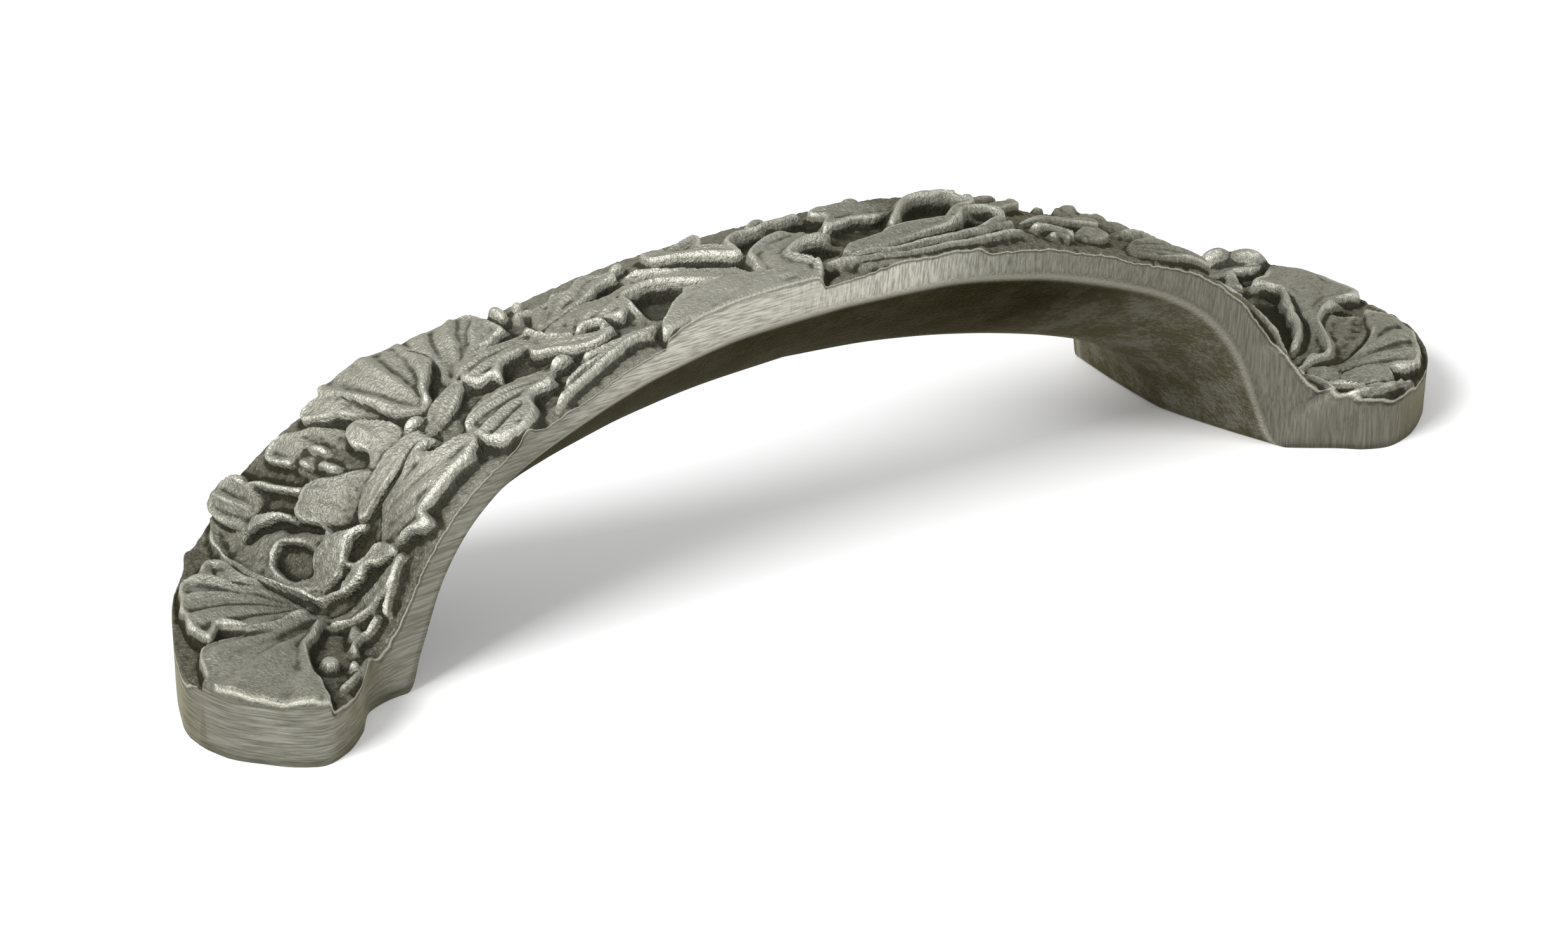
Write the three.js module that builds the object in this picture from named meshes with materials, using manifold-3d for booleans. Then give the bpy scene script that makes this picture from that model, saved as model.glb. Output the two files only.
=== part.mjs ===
import * as THREE from 'three';
import { mergeVertices } from 'three/addons/utils/BufferGeometryUtils.js';
import Module from 'manifold-3d';

const wasm = await Module();
wasm.setup();

// Overall sizes, in millimetres. X runs along the bow, Z up from the feet.
const ARCH_SPAN = 76.7;
const ARCH_HEIGHT = 19.1;
const LEFT_REACH = 49.7;
const RIGHT_REACH = 51.9;
const PAD_THICKNESS = 3.6;
const EDGE_THICKNESS = 1.7;
const BAR_DEPTH = 8.1;
const WALL_DRAFT = 0.25;

// Blind screw holes in the bottoms of the feet.
const SCREW_SPACING = 76.2;
const HOLE_DIAMETER = 3.4;
const HOLE_ROOF = 1;
const HOLE_SIDES = 24;
const HOLE_RUN_OUT = 1;

// Mesh density of the loft.
const STATIONS = 148;
const ACROSS = 31;
const BELLY_STEPS = 6;
const BELLY_POWER = 1.3;
const KEEL_OFFSET = 1.6;

// Relief carved in the face. Heights in the motif list are shares of a millimetre's worth of it.
const RELIEF = 0.74;
const CROWN = 0.3;
const SOFT_EDGE = 0.32;
const DOME_REACH = 1.2;
const RIM_WIDTH = 0.4;
const RIBBED_SINK = 0.6;
const PLAIN_SINK = 0.36;
const FULL_HEIGHT_AT = 0.7;
const LEAST_HALF_WIDTH = 0.3;
const TAPER = 0.14;
const CURVE_STEPS = 5;

// Half profiles from the middle to the leg's foot: share of the half span, share of the height.
const FACE_PROFILE = [
  [0, 1], [0.199, 0.985], [0.391, 0.93], [0.587, 0.78], [0.733, 0.645], [0.832, 0.47],
  [0.905, 0.246], [0.954, 0.065], [1, 0],
];
const BACK_PROFILE = [
  [0, 1], [0.196, 0.993], [0.391, 0.937], [0.574, 0.822], [0.703, 0.7], [0.795, 0.546],
  [0.85, 0.374], [0.891, 0.15], [0.923, 0],
];
const KEEL_PROFILE = [
  [0, 1], [0.17, 0.964], [0.3, 0.91], [0.43, 0.83], [0.596, 0.69], [0.689, 0.58],
  [0.768, 0.43], [0.832, 0.23], [0.876, 0],
];
const PAD_MIDDLE = 1.147;

// Knots of the corners of each foot's flat bottom.
const FOOT_CORNERS = [8, 8.35, 8.7, 9.1, 9.5, 9.8, 10];

// Plan outline by knot: the foot of the left leg is -8, its tip -10, and so on the right.
const NEAR_EDGE = [
  [-10, -6.3], [-9.95, -8], [-9.75, -9.9], [-9.5, -11.6], [-9.23, -12.4], [-8.9, -11.7],
  [-8.52, -9.8], [-8.08, -7.3], [-6.7, -6.5], [-4, -6.1], [-2.5, -5.7], [0, -4.95],
  [1, -5.2], [2.5, -5.7], [4, -6.05], [5.8, -6.4], [7, -6.7], [7.3, -7.6],
  [7.6, -9.1], [8, -10.5], [8.25, -11.2], [8.55, -11.4], [8.85, -10.9], [9.1, -10],
  [9.35, -8.6], [9.5, -7.5], [9.73, -5.1], [9.92, -2.2], [10, 0],
];
const FAR_EDGE = [
  [-10, -5], [-9.97, -3.6], [-9.78, -1], [-9.35, 3.4], [-8.9, 7.4], [-8.4, 11.2],
  [-8, 13.6], [-6.7, 14.3], [-5.4, 12.6], [-4.5, 11], [-3.7, 9.8], [-3, 8.6],
  [-2.5, 7.6], [-2, 7], [-1, 6.8], [0, 6.8], [1, 7], [2, 6.8],
  [2.7, 6], [3.15, 5.8], [3.7, 7], [4.35, 9.5], [5.2, 12.5], [6.4, 14.8],
  [8.3, 15.8], [9, 15.6], [9.45, 14.4], [9.76, 11.8], [9.95, 8], [10, 5],
];

// A smooth curve through the points that never overshoots them.
function monotone(points) {
  const n = points.length;
  const slopes = [];
  for (let i = 0; i < n - 1; i++) {
    slopes.push((points[i + 1][1] - points[i][1]) / (points[i + 1][0] - points[i][0]));
  }
  const tangents = [slopes[0]];
  for (let i = 1; i < n - 1; i++) {
    const flat = slopes[i - 1] * slopes[i] <= 0;
    tangents.push(flat ? 0 : 2 / (1 / slopes[i - 1] + 1 / slopes[i]));
  }
  tangents.push(slopes[n - 2]);
  return (x) => {
    let k = 0;
    while (k < n - 2 && x > points[k + 1][0]) k += 1;
    const [x0, y0] = points[k];
    const [x1, y1] = points[k + 1];
    const step = x1 - x0;
    const t = Math.min(Math.max((x - x0) / step, 0), 1);
    const rise = t * t * (3 - 2 * t);
    const leave = t * (1 - t) * (1 - t);
    const arrive = t * t * (t - 1);
    return y0 + (y1 - y0) * rise + step * (leave * tangents[k] + arrive * tangents[k + 1]);
  };
}

// A profile as two curves of the knot number: the arch, the middle of the pad and the tip.
function profile(points, height, base) {
  const shares = points.concat([[PAD_MIDDLE, 0]]);
  const tip = shares.length;
  const knots = shares.map((p, i) => [i, (p[0] * ARCH_SPAN) / 2]);
  const left = monotone(knots.concat([[tip, LEFT_REACH]]));
  const right = monotone(knots.concat([[tip, RIGHT_REACH]]));
  const up = monotone(shares.concat([[1, 0]]).map((p, i) => [i, base + p[1] * (height - base)]));
  return (knot) => ({ x: knot < 0 ? -left(-knot) : right(knot), z: up(Math.abs(knot)) });
}

const LAST_KNOT = FACE_PROFILE.length + 1;
const face = profile(FACE_PROFILE, ARCH_HEIGHT, PAD_THICKNESS);
const back = profile(BACK_PROFILE, ARCH_HEIGHT - EDGE_THICKNESS, 0);
const keel = profile(KEEL_PROFILE, ARCH_HEIGHT - BAR_DEPTH, 0);

// The origin lies midway between the tips and between the outermost points of the two edges.
const nearest = Math.min(...NEAR_EDGE.map((p) => p[1]));
const farthest = Math.max(...FAR_EDGE.map((p) => p[1]));
const middle = (nearest + farthest) / 2;
const centre = (RIGHT_REACH - LEFT_REACH) / 2;
const nearEdge = monotone(NEAR_EDGE.map(([knot, y]) => [face(knot).x, y - middle]));
const farEdge = monotone(FAR_EDGE.map(([knot, y]) => [face(knot).x, y - middle]));

// Knot numbers at equal steps of arc length along the face.
function stationKnots() {
  const fine = 2000;
  const lengths = [0];
  const knots = [-LAST_KNOT];
  let before = face(-LAST_KNOT);
  for (let i = 1; i <= 2 * fine; i++) {
    knots.push((i / fine - 1) * LAST_KNOT);
    const here = face(knots[i]);
    lengths.push(lengths[i - 1] + Math.hypot(here.x - before.x, here.z - before.z));
    before = here;
  }
  const stations = [];
  let k = 0;
  for (let i = 0; i <= STATIONS; i++) {
    const length = (i / STATIONS) * lengths[2 * fine];
    while (k < 2 * fine - 1 && lengths[k + 1] < length) k += 1;
    const part = (length - lengths[k]) / (lengths[k + 1] - lengths[k]);
    stations.push({ s: length - lengths[fine], knot: knots[k] + (part * LAST_KNOT) / fine });
  }
  return stations;
}

function smooth(low, high, value) {
  const t = Math.min(Math.max((value - low) / (high - low), 0), 1);
  return t * t * (3 - 2 * t);
}

// Short straight steps of a smooth curve through the points, closed or open.
function curve(points, closed) {
  const n = points.length;
  const at = (i) => (closed ? points[(i + n) % n] : points[Math.min(Math.max(i, 0), n - 1)]);
  const spans = closed ? n : n - 1;
  const steps = [];
  for (let i = 0; i < spans; i++) {
    const [before, from, to, after] = [at(i - 1), at(i), at(i + 1), at(i + 2)];
    for (let j = 0; j < CURVE_STEPS; j++) {
      const t = j / CURVE_STEPS;
      steps.push([0, 1].map((axis) => {
        const leave = (to[axis] - before[axis]) / 2;
        const arrive = (after[axis] - from[axis]) / 2;
        const rise = t * t * (3 - 2 * t);
        const bend = leave * t * (1 - t) * (1 - t) + arrive * t * t * (t - 1);
        return from[axis] + (to[axis] - from[axis]) * rise + bend;
      }));
    }
  }
  steps.push(closed ? steps[0] : points[n - 1]);
  return steps;
}

// Distance from a place to the curve, how far along it that is, and whether the curve rings the place.
function nearestOn(steps, s, y) {
  const found = { distance: Infinity, along: 0, inside: false };
  for (let i = 0; i < steps.length - 1; i++) {
    const [s0, y0] = steps[i];
    const [s1, y1] = steps[i + 1];
    const ds = s1 - s0;
    const dy = y1 - y0;
    const t = Math.min(Math.max(((s - s0) * ds + (y - y0) * dy) / (ds * ds + dy * dy), 0), 1);
    const distance = Math.hypot(s - s0 - t * ds, y - y0 - t * dy);
    if (distance < found.distance) {
      found.distance = distance;
      found.along = (i + t) / (steps.length - 1);
    }
    if (y0 > y !== y1 > y && s < s0 + ((y - y0) / dy) * ds) found.inside = !found.inside;
  }
  return found;
}

// How deep a place lies inside a closed outline, negative outside it.
function depthIn(steps, s, y) {
  const { distance, inside } = nearestOn(steps, s, y);
  return inside ? distance : -distance;
}

// A leaf: level inside its outline, domed or cupped in the middle, with a raised rim.
// Its ribs fan out from a root, as a cosine of the angle seen from there, and it sinks towards its root,
// which is the outline's first point where there are no ribs.
function leaf(outline, height, dome, rim, ribs) {
  const steps = curve(outline, true);
  const [rootS, rootY] = ribs || outline[0];
  const reaches = steps.map((p) => Math.hypot(p[0] - rootS, p[1] - rootY));
  const first = Math.min(...reaches);
  const full = FULL_HEIGHT_AT * Math.max(...reaches) + (1 - FULL_HEIGHT_AT) * first;
  const sink = ribs ? RIBBED_SINK : PLAIN_SINK;
  return (s, y, ground) => {
    const depth = depthIn(steps, s, y);
    const mask = smooth(-SOFT_EDGE, SOFT_EDGE, depth);
    if (mask === 0) return ground;
    let level = height + dome * smooth(0, DOME_REACH, depth);
    level += rim * Math.exp(-(((depth - RIM_WIDTH) / RIM_WIDTH) ** 2));
    if (ribs) {
      const [, , pace, carved] = ribs;
      level += carved * Math.cos(pace * Math.atan2(y - rootY, s - rootS)) * smooth(0, DOME_REACH, depth);
    }
    level *= 1 - sink * (1 - smooth(first, full, Math.hypot(s - rootS, y - rootY)));
    return ground + (level - ground) * mask;
  };
}

// A hollow with a steep wall and a level floor.
function pit(outline, floor) {
  const steps = curve(outline, true);
  return (s, y, ground) => {
    const mask = smooth(-SOFT_EDGE, SOFT_EDGE, depthIn(steps, s, y));
    return Math.min(ground, ground + (floor - ground) * mask);
  };
}

// A round-backed ridge along a path, thin and low at both ends.
function ridge(path, halfWidth, height) {
  const steps = curve(path, false);
  const reach = 2 * Math.max(halfWidth, LEAST_HALF_WIDTH);
  return (s, y, ground) => {
    const { distance, along } = nearestOn(steps, s, y);
    const end = smooth(0, TAPER, Math.min(along, 1 - along));
    const mask = Math.max(1 - (distance / reach) ** 2, 0) * end;
    return Math.max(ground, ground + (height - ground) * mask);
  };
}

// A raised oval bud, turned by the given angle in degrees.
function bud(s0, y0, long, wide, angle, height) {
  const c = Math.cos((angle * Math.PI) / 180);
  const n = Math.sin((angle * Math.PI) / 180);
  const across = Math.max(wide, LEAST_HALF_WIDTH);
  return (s, y, ground) => {
    const a = ((s - s0) * c + (y - y0) * n) / long;
    const b = ((y - y0) * c - (s - s0) * n) / across;
    const inside = 1 - a * a - b * b;
    return inside > 0 ? Math.max(ground, height * Math.sqrt(inside)) : ground;
  };
}

// The carving in the order it is laid down: each motif covers or tops the ones before it.
// Places are given in millimetres along the bow from its middle, and across it.
const MOTIFS = [
  // Left foot: rough ground, a big cupped leaf with an eyelet, and two fan leaves.
  leaf([[-40.9, 12.2], [-42.6, 9.2], [-43.6, 6], [-43.5, 3.4], [-42.6, 1.2], [-41.6, -0.8],
    [-39.6, -1.5], [-38.2, -0.4], [-37.9, 2], [-38.5, 4.6], [-39.8, 7], [-41, 9.6]], 0.8, -0.15, 0.35),
  ridge([[-41.2, 12], [-42.5, 9.3], [-43.4, 6.2], [-43.3, 3.4], [-42.4, 0.9], [-42.1, -1],
    [-41.6, -2.4]], 0.3, 1.25),
  pit([[-40.6, 7.9], [-39.4, 6.2], [-38.4, 4], [-38, 1.6], [-38.3, 0.8], [-39, 3.6], [-40, 6],
    [-41.3, 7.6]], 0.1),
  pit([[-42, 2.3], [-41.6, 0.8], [-40.7, 0.4], [-39.5, 1.2], [-39.4, 2.8], [-40, 4.2], [-40.9, 4.6],
    [-41.7, 3.9]], 0.35),
  ridge([[-40.9, 0.3], [-41.8, 0.9], [-42.1, 2.4], [-41.6, 4.1], [-40.8, 4.7], [-39.9, 4.3],
    [-39.3, 2.9], [-39.1, 1.2]], 0.16, 1.0),
  leaf([[-41.9, 0.3], [-40.9, 0.3], [-40.2, 0.9], [-39.4, 1], [-38.3, 0.2], [-37.1, -1.2],
    [-36.6, -1.9], [-38.6, -2], [-40.4, -2], [-41.4, -1.1]], 1, 0.15, 0.15),
  leaf([[-42.1, -0.3], [-41.9, -1.8], [-41, -3.1], [-39.8, -4], [-38.7, -4.3], [-38.4, -5],
    [-37.2, -5.8], [-36.8, -4.6], [-37.3, -3.8], [-38.8, -3.2], [-40.4, -2.4], [-41.4, -1.2]],
    0.9, 0, 0.3),
  pit([[-41.6, -1.2], [-41.1, -2.3], [-40.3, -2.5], [-40.4, -1.9]], 0),
  pit([[-39.2, -2.2], [-38.4, -1.7], [-37.2, -1.8], [-36.8, -2.6], [-37.5, -3.5], [-38.5, -3.5]],
    0.15),
  ridge([[-39.4, -2], [-39.1, -3], [-38.2, -3.8], [-37.3, -3.7]], 0.17, 1.05),
  leaf([[-43.5, -3.2], [-41.8, -4], [-39.8, -5.2], [-38, -5.7], [-37, -6.2], [-39.4, -6.3],
    [-41.4, -5.8], [-42.6, -4.8]], 0.55, 0, 0.2),
  ridge([[-44.1, -4.2], [-42.9, -4.6], [-42, -5.4], [-40.8, -6.1], [-39.3, -6.4], [-36.9, -6.3]],
    0.16, 0.95),
  ridge([[-41.1, -7.4], [-39.9, -7], [-38.7, -6.6], [-36.9, -6.3]], 0.18, 0.9),
  ridge([[-45, -9], [-44.4, -8], [-43.5, -7.2], [-42.2, -6.9], [-40.9, -6.5]], 0.18, 0.95),
  bud(-43.2, -6.4, 1.3, 0.5, 55, 1),
  leaf([[-42.8, -3.2], [-44.4, -4.1], [-46.5, -6], [-48.2, -8.2], [-49.1, -10.6], [-50.2, -14.2],
    [-52.6, -14.6], [-54.3, -11.8], [-54.4, -8], [-53.9, -5.1], [-52.2, -3.6], [-50, -1.3],
    [-47, -2.2], [-44, -2]], 1, 0.35, 0.25, [-42.6, -2.6, 17, 0.2]),
  ridge([[-50.2, -13], [-49.4, -11.4], [-48.7, -9.6], [-47.8, -7.8], [-46.2, -5.7], [-44.6, -4.3],
    [-43.2, -3.5]], 0.22, 1.35),
  bud(-46.9, -8.9, 0.95, 0.6, 55, 1),
  bud(-46.1, -10.4, 0.45, 0.4, 0, 1.1),
  ridge([[-48.8, -12.5], [-47.2, -11.9], [-45.7, -10.9], [-44.7, -9.8], [-43.6, -9.2]], 0.2, 0.8),
  leaf([[-43.6, -1.9], [-46, -2.7], [-47.6, -2.8], [-49.5, -1.1], [-51, -2.4], [-51.2, -0.6],
    [-50.2, 2], [-48.8, 4.8], [-47.7, 6], [-46.2, 6.4], [-45, 7.7], [-44.1, 7.3], [-44.2, 5],
    [-44, 2.6], [-43.2, 0.6]], 1.2, 0.1, 0.2, [-42.6, -0.9, 15, 0.28]),
  ridge([[-50, -0.9], [-49.2, -1.2], [-48.2, -2.4], [-47, -2.9], [-45.4, -2.7], [-43.7, -2.1]],
    0.3, 1.5),
  ridge([[-43.9, 2.5], [-44.5, 4.2], [-44.4, 6.4], [-44.7, 7.5], [-46.2, 6.5]], 0.28, 1.5),
  pit([[-44.9, 4], [-45.4, 5], [-45, 6.6], [-45.5, 5.8], [-45.9, 4.6], [-45.3, 3.2], [-44.4, 2.7]],
    0.6),
  // Left leg, far side: ribbed leaf and blades behind the flower.
  leaf([[-40.3, 7.9], [-40.9, 10], [-40.6, 12.1], [-39.4, 12.6], [-37.7, 11.6], [-37.9, 9.8],
    [-38.4, 8.1], [-39.2, 7.7]], 1.2, 0.1, 0.1, [-39.3, 3, 34, 0.22]),
  leaf([[-40.4, 8], [-39.5, 7.8], [-38.7, 6.4], [-38.2, 4.2], [-38.9, 5.2], [-39.7, 6.7]],
    1.35, 0, 0.1),
  ridge([[-38.2, 10], [-37.6, 8.8], [-37.3, 7.4], [-36.9, 5.9], [-36.5, 4.9]], 0.22, 1.15),
  // The flower: five petals round three seed heads.
  leaf([[-36, 9.2], [-35.2, 9.8], [-34.3, 9.4], [-33.4, 8], [-32.6, 6.6], [-32.1, 4.4], [-33.2, 3.6],
    [-34.6, 4.6], [-35.4, 6.6]], 0.85, 0, 0.3, [-33.6, 1, 26, 0.14]),
  leaf([[-33, 8], [-32.4, 8.8], [-31.3, 8.6], [-30.8, 7.4], [-30.4, 5.4], [-30.3, 3], [-31.1, 4.4],
    [-31.9, 6.2]], 1.15, 0.1, 0.2, [-31.4, 0, 26, 0.14]),
  leaf([[-35.7, 2.8], [-35.6, 6.8], [-34.8, 7], [-33.6, 5.8], [-33, 3], [-33.3, 0.6], [-34.4, 1.2]],
    0.3, 0, 0),
  bud(-35, 5.9, 1.05, 0.32, 92, 0.95),
  bud(-34, 5.4, 1.25, 0.36, 94, 1.05),
  bud(-34.6, 3.6, 1.2, 0.36, 95, 1.15),
  leaf([[-38.1, 4], [-37.3, 4.4], [-36.3, 4.5], [-35.5, 3.7], [-34.8, 2.4], [-33.8, 0.8],
    [-33.6, -0.1], [-35.4, -0.5], [-37.2, -0.3], [-37.8, 1.2], [-38.2, 2.8]],
    1.25, 0.3, 0.15, [-35.4, -4, 40, 0.12]),
  leaf([[-33.5, 0], [-32.9, 1.5], [-33, 2.8], [-32.2, 4.1], [-31.4, 3.8], [-30.8, 2.6], [-30.3, 1.2],
    [-30.8, 0.1], [-32.2, -0.2]], 1.3, 0.35, 0.1, [-32, -3, 30, 0.1]),
  // Far side of the left half: two ruffled fans, berries and a ribbon.
  leaf([[-25.6, 0.9], [-26.2, 2], [-25.4, 3.4], [-25.5, 5.4], [-25.6, 7.8], [-24, 7.3], [-22.4, 7],
    [-20.9, 6.4], [-20.7, 4.6], [-20.6, 2.6], [-22, 2.4], [-23.6, 2]],
    1.2, 0.1, 0.15, [-27.4, -2.4, 30, 0.2]),
  leaf([[-28.4, 0], [-29.3, 1.1], [-30.1, 2.5], [-30.3, 4.6], [-30.6, 6.6], [-31.2, 8.4], [-30.2, 9.2],
    [-28.4, 8.8], [-26.6, 8.2], [-25.5, 7.4], [-25.7, 5.6], [-25.3, 4], [-26, 3.2], [-27.3, 1.9]],
    1.45, 0.1, 0.15, [-28.5, -0.8, 16, 0.26]),
  ridge([[-28.4, 0.2], [-27.8, 1.3], [-27.2, 2.5], [-26.5, 3.4], [-25.8, 3.5]], 0.2, 1.5),
  ridge([[-25.6, 0.7], [-24.8, 1.7], [-23.8, 2.1], [-22.8, 2.6], [-22, 2.3], [-21, 2.8], [-20.4, 2.3]],
    0.3, 1.2),
  ridge([[-19.8, 3], [-18.9, 3.4], [-18, 2.6], [-16.4, 2.2], [-14.6, 2.4], [-13.4, 2.8], [-12, 2.7]],
    0.35, 0.9),
  bud(-19.7, 4.7, 1.05, 0.5, 80, 1.5),
  bud(-18.5, 4, 0.6, 0.5, 30, 1.3),
  bud(-11.6, 3.1, 0.8, 0.45, 15, 1.1),
  // Near side of the left half: long leaves, hooks and buds.
  leaf([[-36.6, -1.2], [-35.6, -0.5], [-33.5, -0.2], [-31.4, -0.4], [-30.2, -1], [-29.5, -1.8],
    [-31.6, -2], [-34, -2.1], [-35.6, -1.8]], 1, 0.2, 0.2),
  leaf([[-30.2, -1.6], [-29, -0.4], [-27.5, 0.3], [-26, 0.6], [-25.8, -0.1], [-27.4, -1.4],
    [-29, -1.8]], 0.9, 0.1, 0.15, [-34, -4, 60, 0.14]),
  bud(-30, -0.2, 0.85, 0.5, -10, 1.45),
  leaf([[-27.7, -3.3], [-27.3, -2.3], [-25.6, -2], [-23.8, -2.4], [-21.8, -3.4], [-24.6, -3.5]],
    0.55, 0, 0.15),
  leaf([[-25.7, 0.2], [-25.1, 1.2], [-23.7, 1.9], [-22, 1.4], [-20.2, 1.1], [-19.7, 0.4],
    [-20.6, -0.4], [-22.8, -0.5], [-23.5, -1.1], [-24.1, -1.8], [-24.7, -1.3], [-25.5, -1]],
    1.2, 0.1, 0.2, [-19, 0.4, 30, 0.16]),
  pit([[-24, -2.1], [-23.6, -1.2], [-22.5, -0.7], [-21.7, -0.8], [-21, -1.8], [-21.2, -2.8],
    [-22.6, -2.6]], 0.1),
  leaf([[-37, -4], [-36.2, -3.2], [-34.9, -2.5], [-33.4, -2.5], [-31.9, -2.1], [-30.6, -2.6],
    [-31, -3.8], [-29.1, -4.6], [-29, -5.9], [-31, -6.2], [-33.2, -6], [-34.2, -6], [-34.4, -6.8],
    [-34.9, -7.2], [-35.5, -6.9], [-35.9, -6], [-36.8, -5.4]], 1.15, 0.15, 0.3, [-40, -1, 36, 0.12]),
  ridge([[-36.8, -5.2], [-35.8, -6], [-35.2, -7], [-34.7, -7.1], [-34.2, -6.1], [-32.4, -6.2],
    [-30.6, -6.3], [-29.1, -5.9]], 0.22, 1.35),
  pit([[-31.2, -2.9], [-30.2, -2.7], [-29.2, -3], [-29.2, -4.2], [-30.6, -3.9]], 0.15),
  ridge([[-29.9, -2.5], [-30.9, -2.4], [-31.6, -3], [-31.3, -3.9], [-30.2, -4.3], [-29.1, -4.6]],
    0.26, 1.5),
  leaf([[-28.9, -4.8], [-28.4, -3.8], [-27.2, -3.4], [-25, -3.2], [-22.6, -3.3], [-21.6, -4.2],
    [-23, -4.8], [-24.2, -4.8], [-24.9, -5.6], [-25.5, -6.8], [-26.4, -7.6], [-27.6, -7.7],
    [-28.5, -6.9]], 1.3, 0.1, 0.25, [-20.4, -4.2, 34, 0.2]),
  ridge([[-26.4, -7.5], [-25.3, -6.6], [-24.7, -5.4], [-23.8, -4.9], [-22.9, -5.1], [-22.2, -4.7]],
    0.22, 1.4),
  leaf([[-21.2, -1], [-20.2, 0.2], [-19.8, -1], [-19.1, -2.3], [-17.9, -3.4], [-16.8, -4.1],
    [-18.4, -4.5], [-19.8, -3.6], [-20.7, -2.3]], 1, 0, 0.25),
  ridge([[-20.1, 1.2], [-19.9, 0], [-19.4, -1.4], [-18.6, -2.6]], 0.16, 1.25),
  bud(-20.9, -3.9, 0.95, 0.42, -4, 1.4),
  leaf([[-19.2, 0.2], [-17, 0.3], [-15.3, 0.2], [-14.4, -0.6], [-14.7, -2.4], [-15.5, -3.3],
    [-16.5, -2.5], [-18.2, -2], [-18.8, -1]], 1, 0.1, 0.2, [-22, -3, 40, 0.12]),
  ridge([[-18.6, -2.2], [-17.6, -2.1], [-16.9, -2.6], [-16.9, -3.2], [-17.6, -3.3]], 0.2, 1.25),
  ridge([[-20, -4.6], [-18.4, -5.2], [-16.4, -5.6], [-14.6, -6]], 0.2, 1.1),
  ridge([[-24.2, -7.1], [-22, -6.7], [-19.6, -6.3], [-17.4, -5.9], [-15, -6.1]], 0.2, 1.15),
  // Middle: a long flowing blade, dark hollows and ribbons.
  leaf([[-18.6, 0.2], [-16, 0.2], [-13, 0.1], [-11, -0.4], [-9.4, -1.2], [-8, -2.3], [-6.2, -3.4],
    [-6.3, -4.2], [-8, -4], [-9.6, -2.8], [-11.2, -1.2], [-13.5, -0.8], [-16, -1.2]], 0.95, 0.1, 0.1),
  pit([[-14.2, -2.2], [-13.6, -1.3], [-12.3, -1.1], [-11.1, -1.5], [-10, -2.5], [-9.4, -3.2],
    [-10.8, -3.3], [-11.8, -4.3], [-13.8, -4.5], [-14.3, -3.4]], -0.2),
  ridge([[-14.4, -4.2], [-14.5, -2.5], [-14, -1.3], [-12.9, -0.9], [-11.6, -1], [-10.3, -2],
    [-9, -3.2], [-7.8, -3.9], [-6.4, -4.2]], 0.28, 1.3),
  pit([[-15, 0.3], [-14.3, 1.1], [-13, 1.5], [-11.6, 0.9], [-10.3, 0], [-11.4, -0.1], [-13, 0.5]],
    0.1),
  pit([[-11.9, 2.2], [-10, 2.5], [-8.8, 2], [-7.5, 0.7], [-6.5, -0.5], [-5.8, -1.4], [-6.4, -2],
    [-8, -1], [-9.3, 0.3], [-10.5, 1.4]], 0.1),
  ridge([[-12.6, 1.9], [-10.9, 0.7], [-9.8, -0.5], [-8.5, -1.6], [-7, -2.7], [-5.8, -3.4]], 0.22, 1.2),
  ridge([[-8.8, 2.7], [-7.6, 1.9], [-6.6, 0.7], [-5.7, -0.5], [-4.9, -1.7]], 0.35, 1.5),
  leaf([[-7.9, 2.6], [-6.4, 3.5], [-5, 4], [-4.8, 3.3], [-5.6, 2.1], [-6.3, 1.5]], 0.9, -0.3, 0.35),
  leaf([[-4.9, -2.1], [-3.6, -1.1], [-2, -0.4], [0.2, 0.2], [1.4, -0.6], [1.8, -1.8], [-0.2, -2.1],
    [-1.8, -2.6], [-2.6, -3.4], [-2.5, -4.3], [-2, -5.2], [-2.4, -6.6], [-4.4, -7], [-9, -7.2],
    [-14.6, -7.2], [-14.8, -6.4], [-12.8, -4.7], [-11.6, -4.3], [-10.8, -3.4], [-9, -3.9],
    [-6.2, -4.3], [-5.3, -3.4]], 1.25, 0.15, 0.25),
  ridge([[-5.8, -4.4], [-5.3, -3.2], [-4.7, -2], [-3.6, -1.1], [-2, -0.4], [0.4, 0.2]], 0.25, 1.55),
  ridge([[1.9, -2], [0.2, -2], [-1.6, -2.4], [-2.6, -3.3], [-2.5, -4.3], [-1.9, -5.2], [-2.3, -6.5]],
    0.3, 1.65),
  ridge([[-14.6, -6], [-12, -5.6], [-9, -5.4], [-6, -5.6], [-3.4, -5.9]], 0.28, 1.5),
  ridge([[-12.6, -4.7], [-10.4, -4.5], [-8, -4.7], [-5.6, -4.9], [-3.4, -4.6]], 0.25, 1.55),
  pit([[-1.7, -3.4], [-1.4, -2.6], [-0.5, -2.3], [0.9, -2.3], [1.9, -2.7], [0.9, -3.4], [-0.6, -3.7]],
    -0.2),
  pit([[-2, -4.8], [-1.2, -4.7], [-0.4, -5.3], [-0.8, -6.1], [-2.3, -6.7], [-1.7, -5.6]], -0.1),
  pit([[-3.8, 1.5], [-3.6, 0.2], [-2, 0.1], [0.3, 0.5], [2, 0.3], [3.2, 1.6], [3, 2.4], [1.2, 2.5],
    [-1.4, 2.1]], -0.1),
  ridge([[-4.3, -0.9], [-4.3, 0.6], [-3.9, 1.8], [-2.2, 2.3], [0, 2.5], [2, 2.8], [3.4, 2.9]],
    0.3, 1.1),
  bud(-0.6, 3.1, 1.2, 0.35, 8, 1.2),
  pit([[0.9, -0.3], [2.4, -0.7], [5, -0.4], [7.8, 0], [6.9, -1.3], [6.3, -2.4], [4, -2.8], [2.3, -2.4],
    [1.7, -1.3]], 0.15),
  leaf([[2.2, -0.5], [3.2, 0.5], [3.6, 1.6], [3.5, 2.7], [6.2, 3.4], [9.6, 2.9], [10.6, 2], [9.3, 0.9],
    [7.6, -0.1], [4.8, -0.1]], 1, 0.15, 0.2, [14, 0.6, 44, 0.2]),
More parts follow.
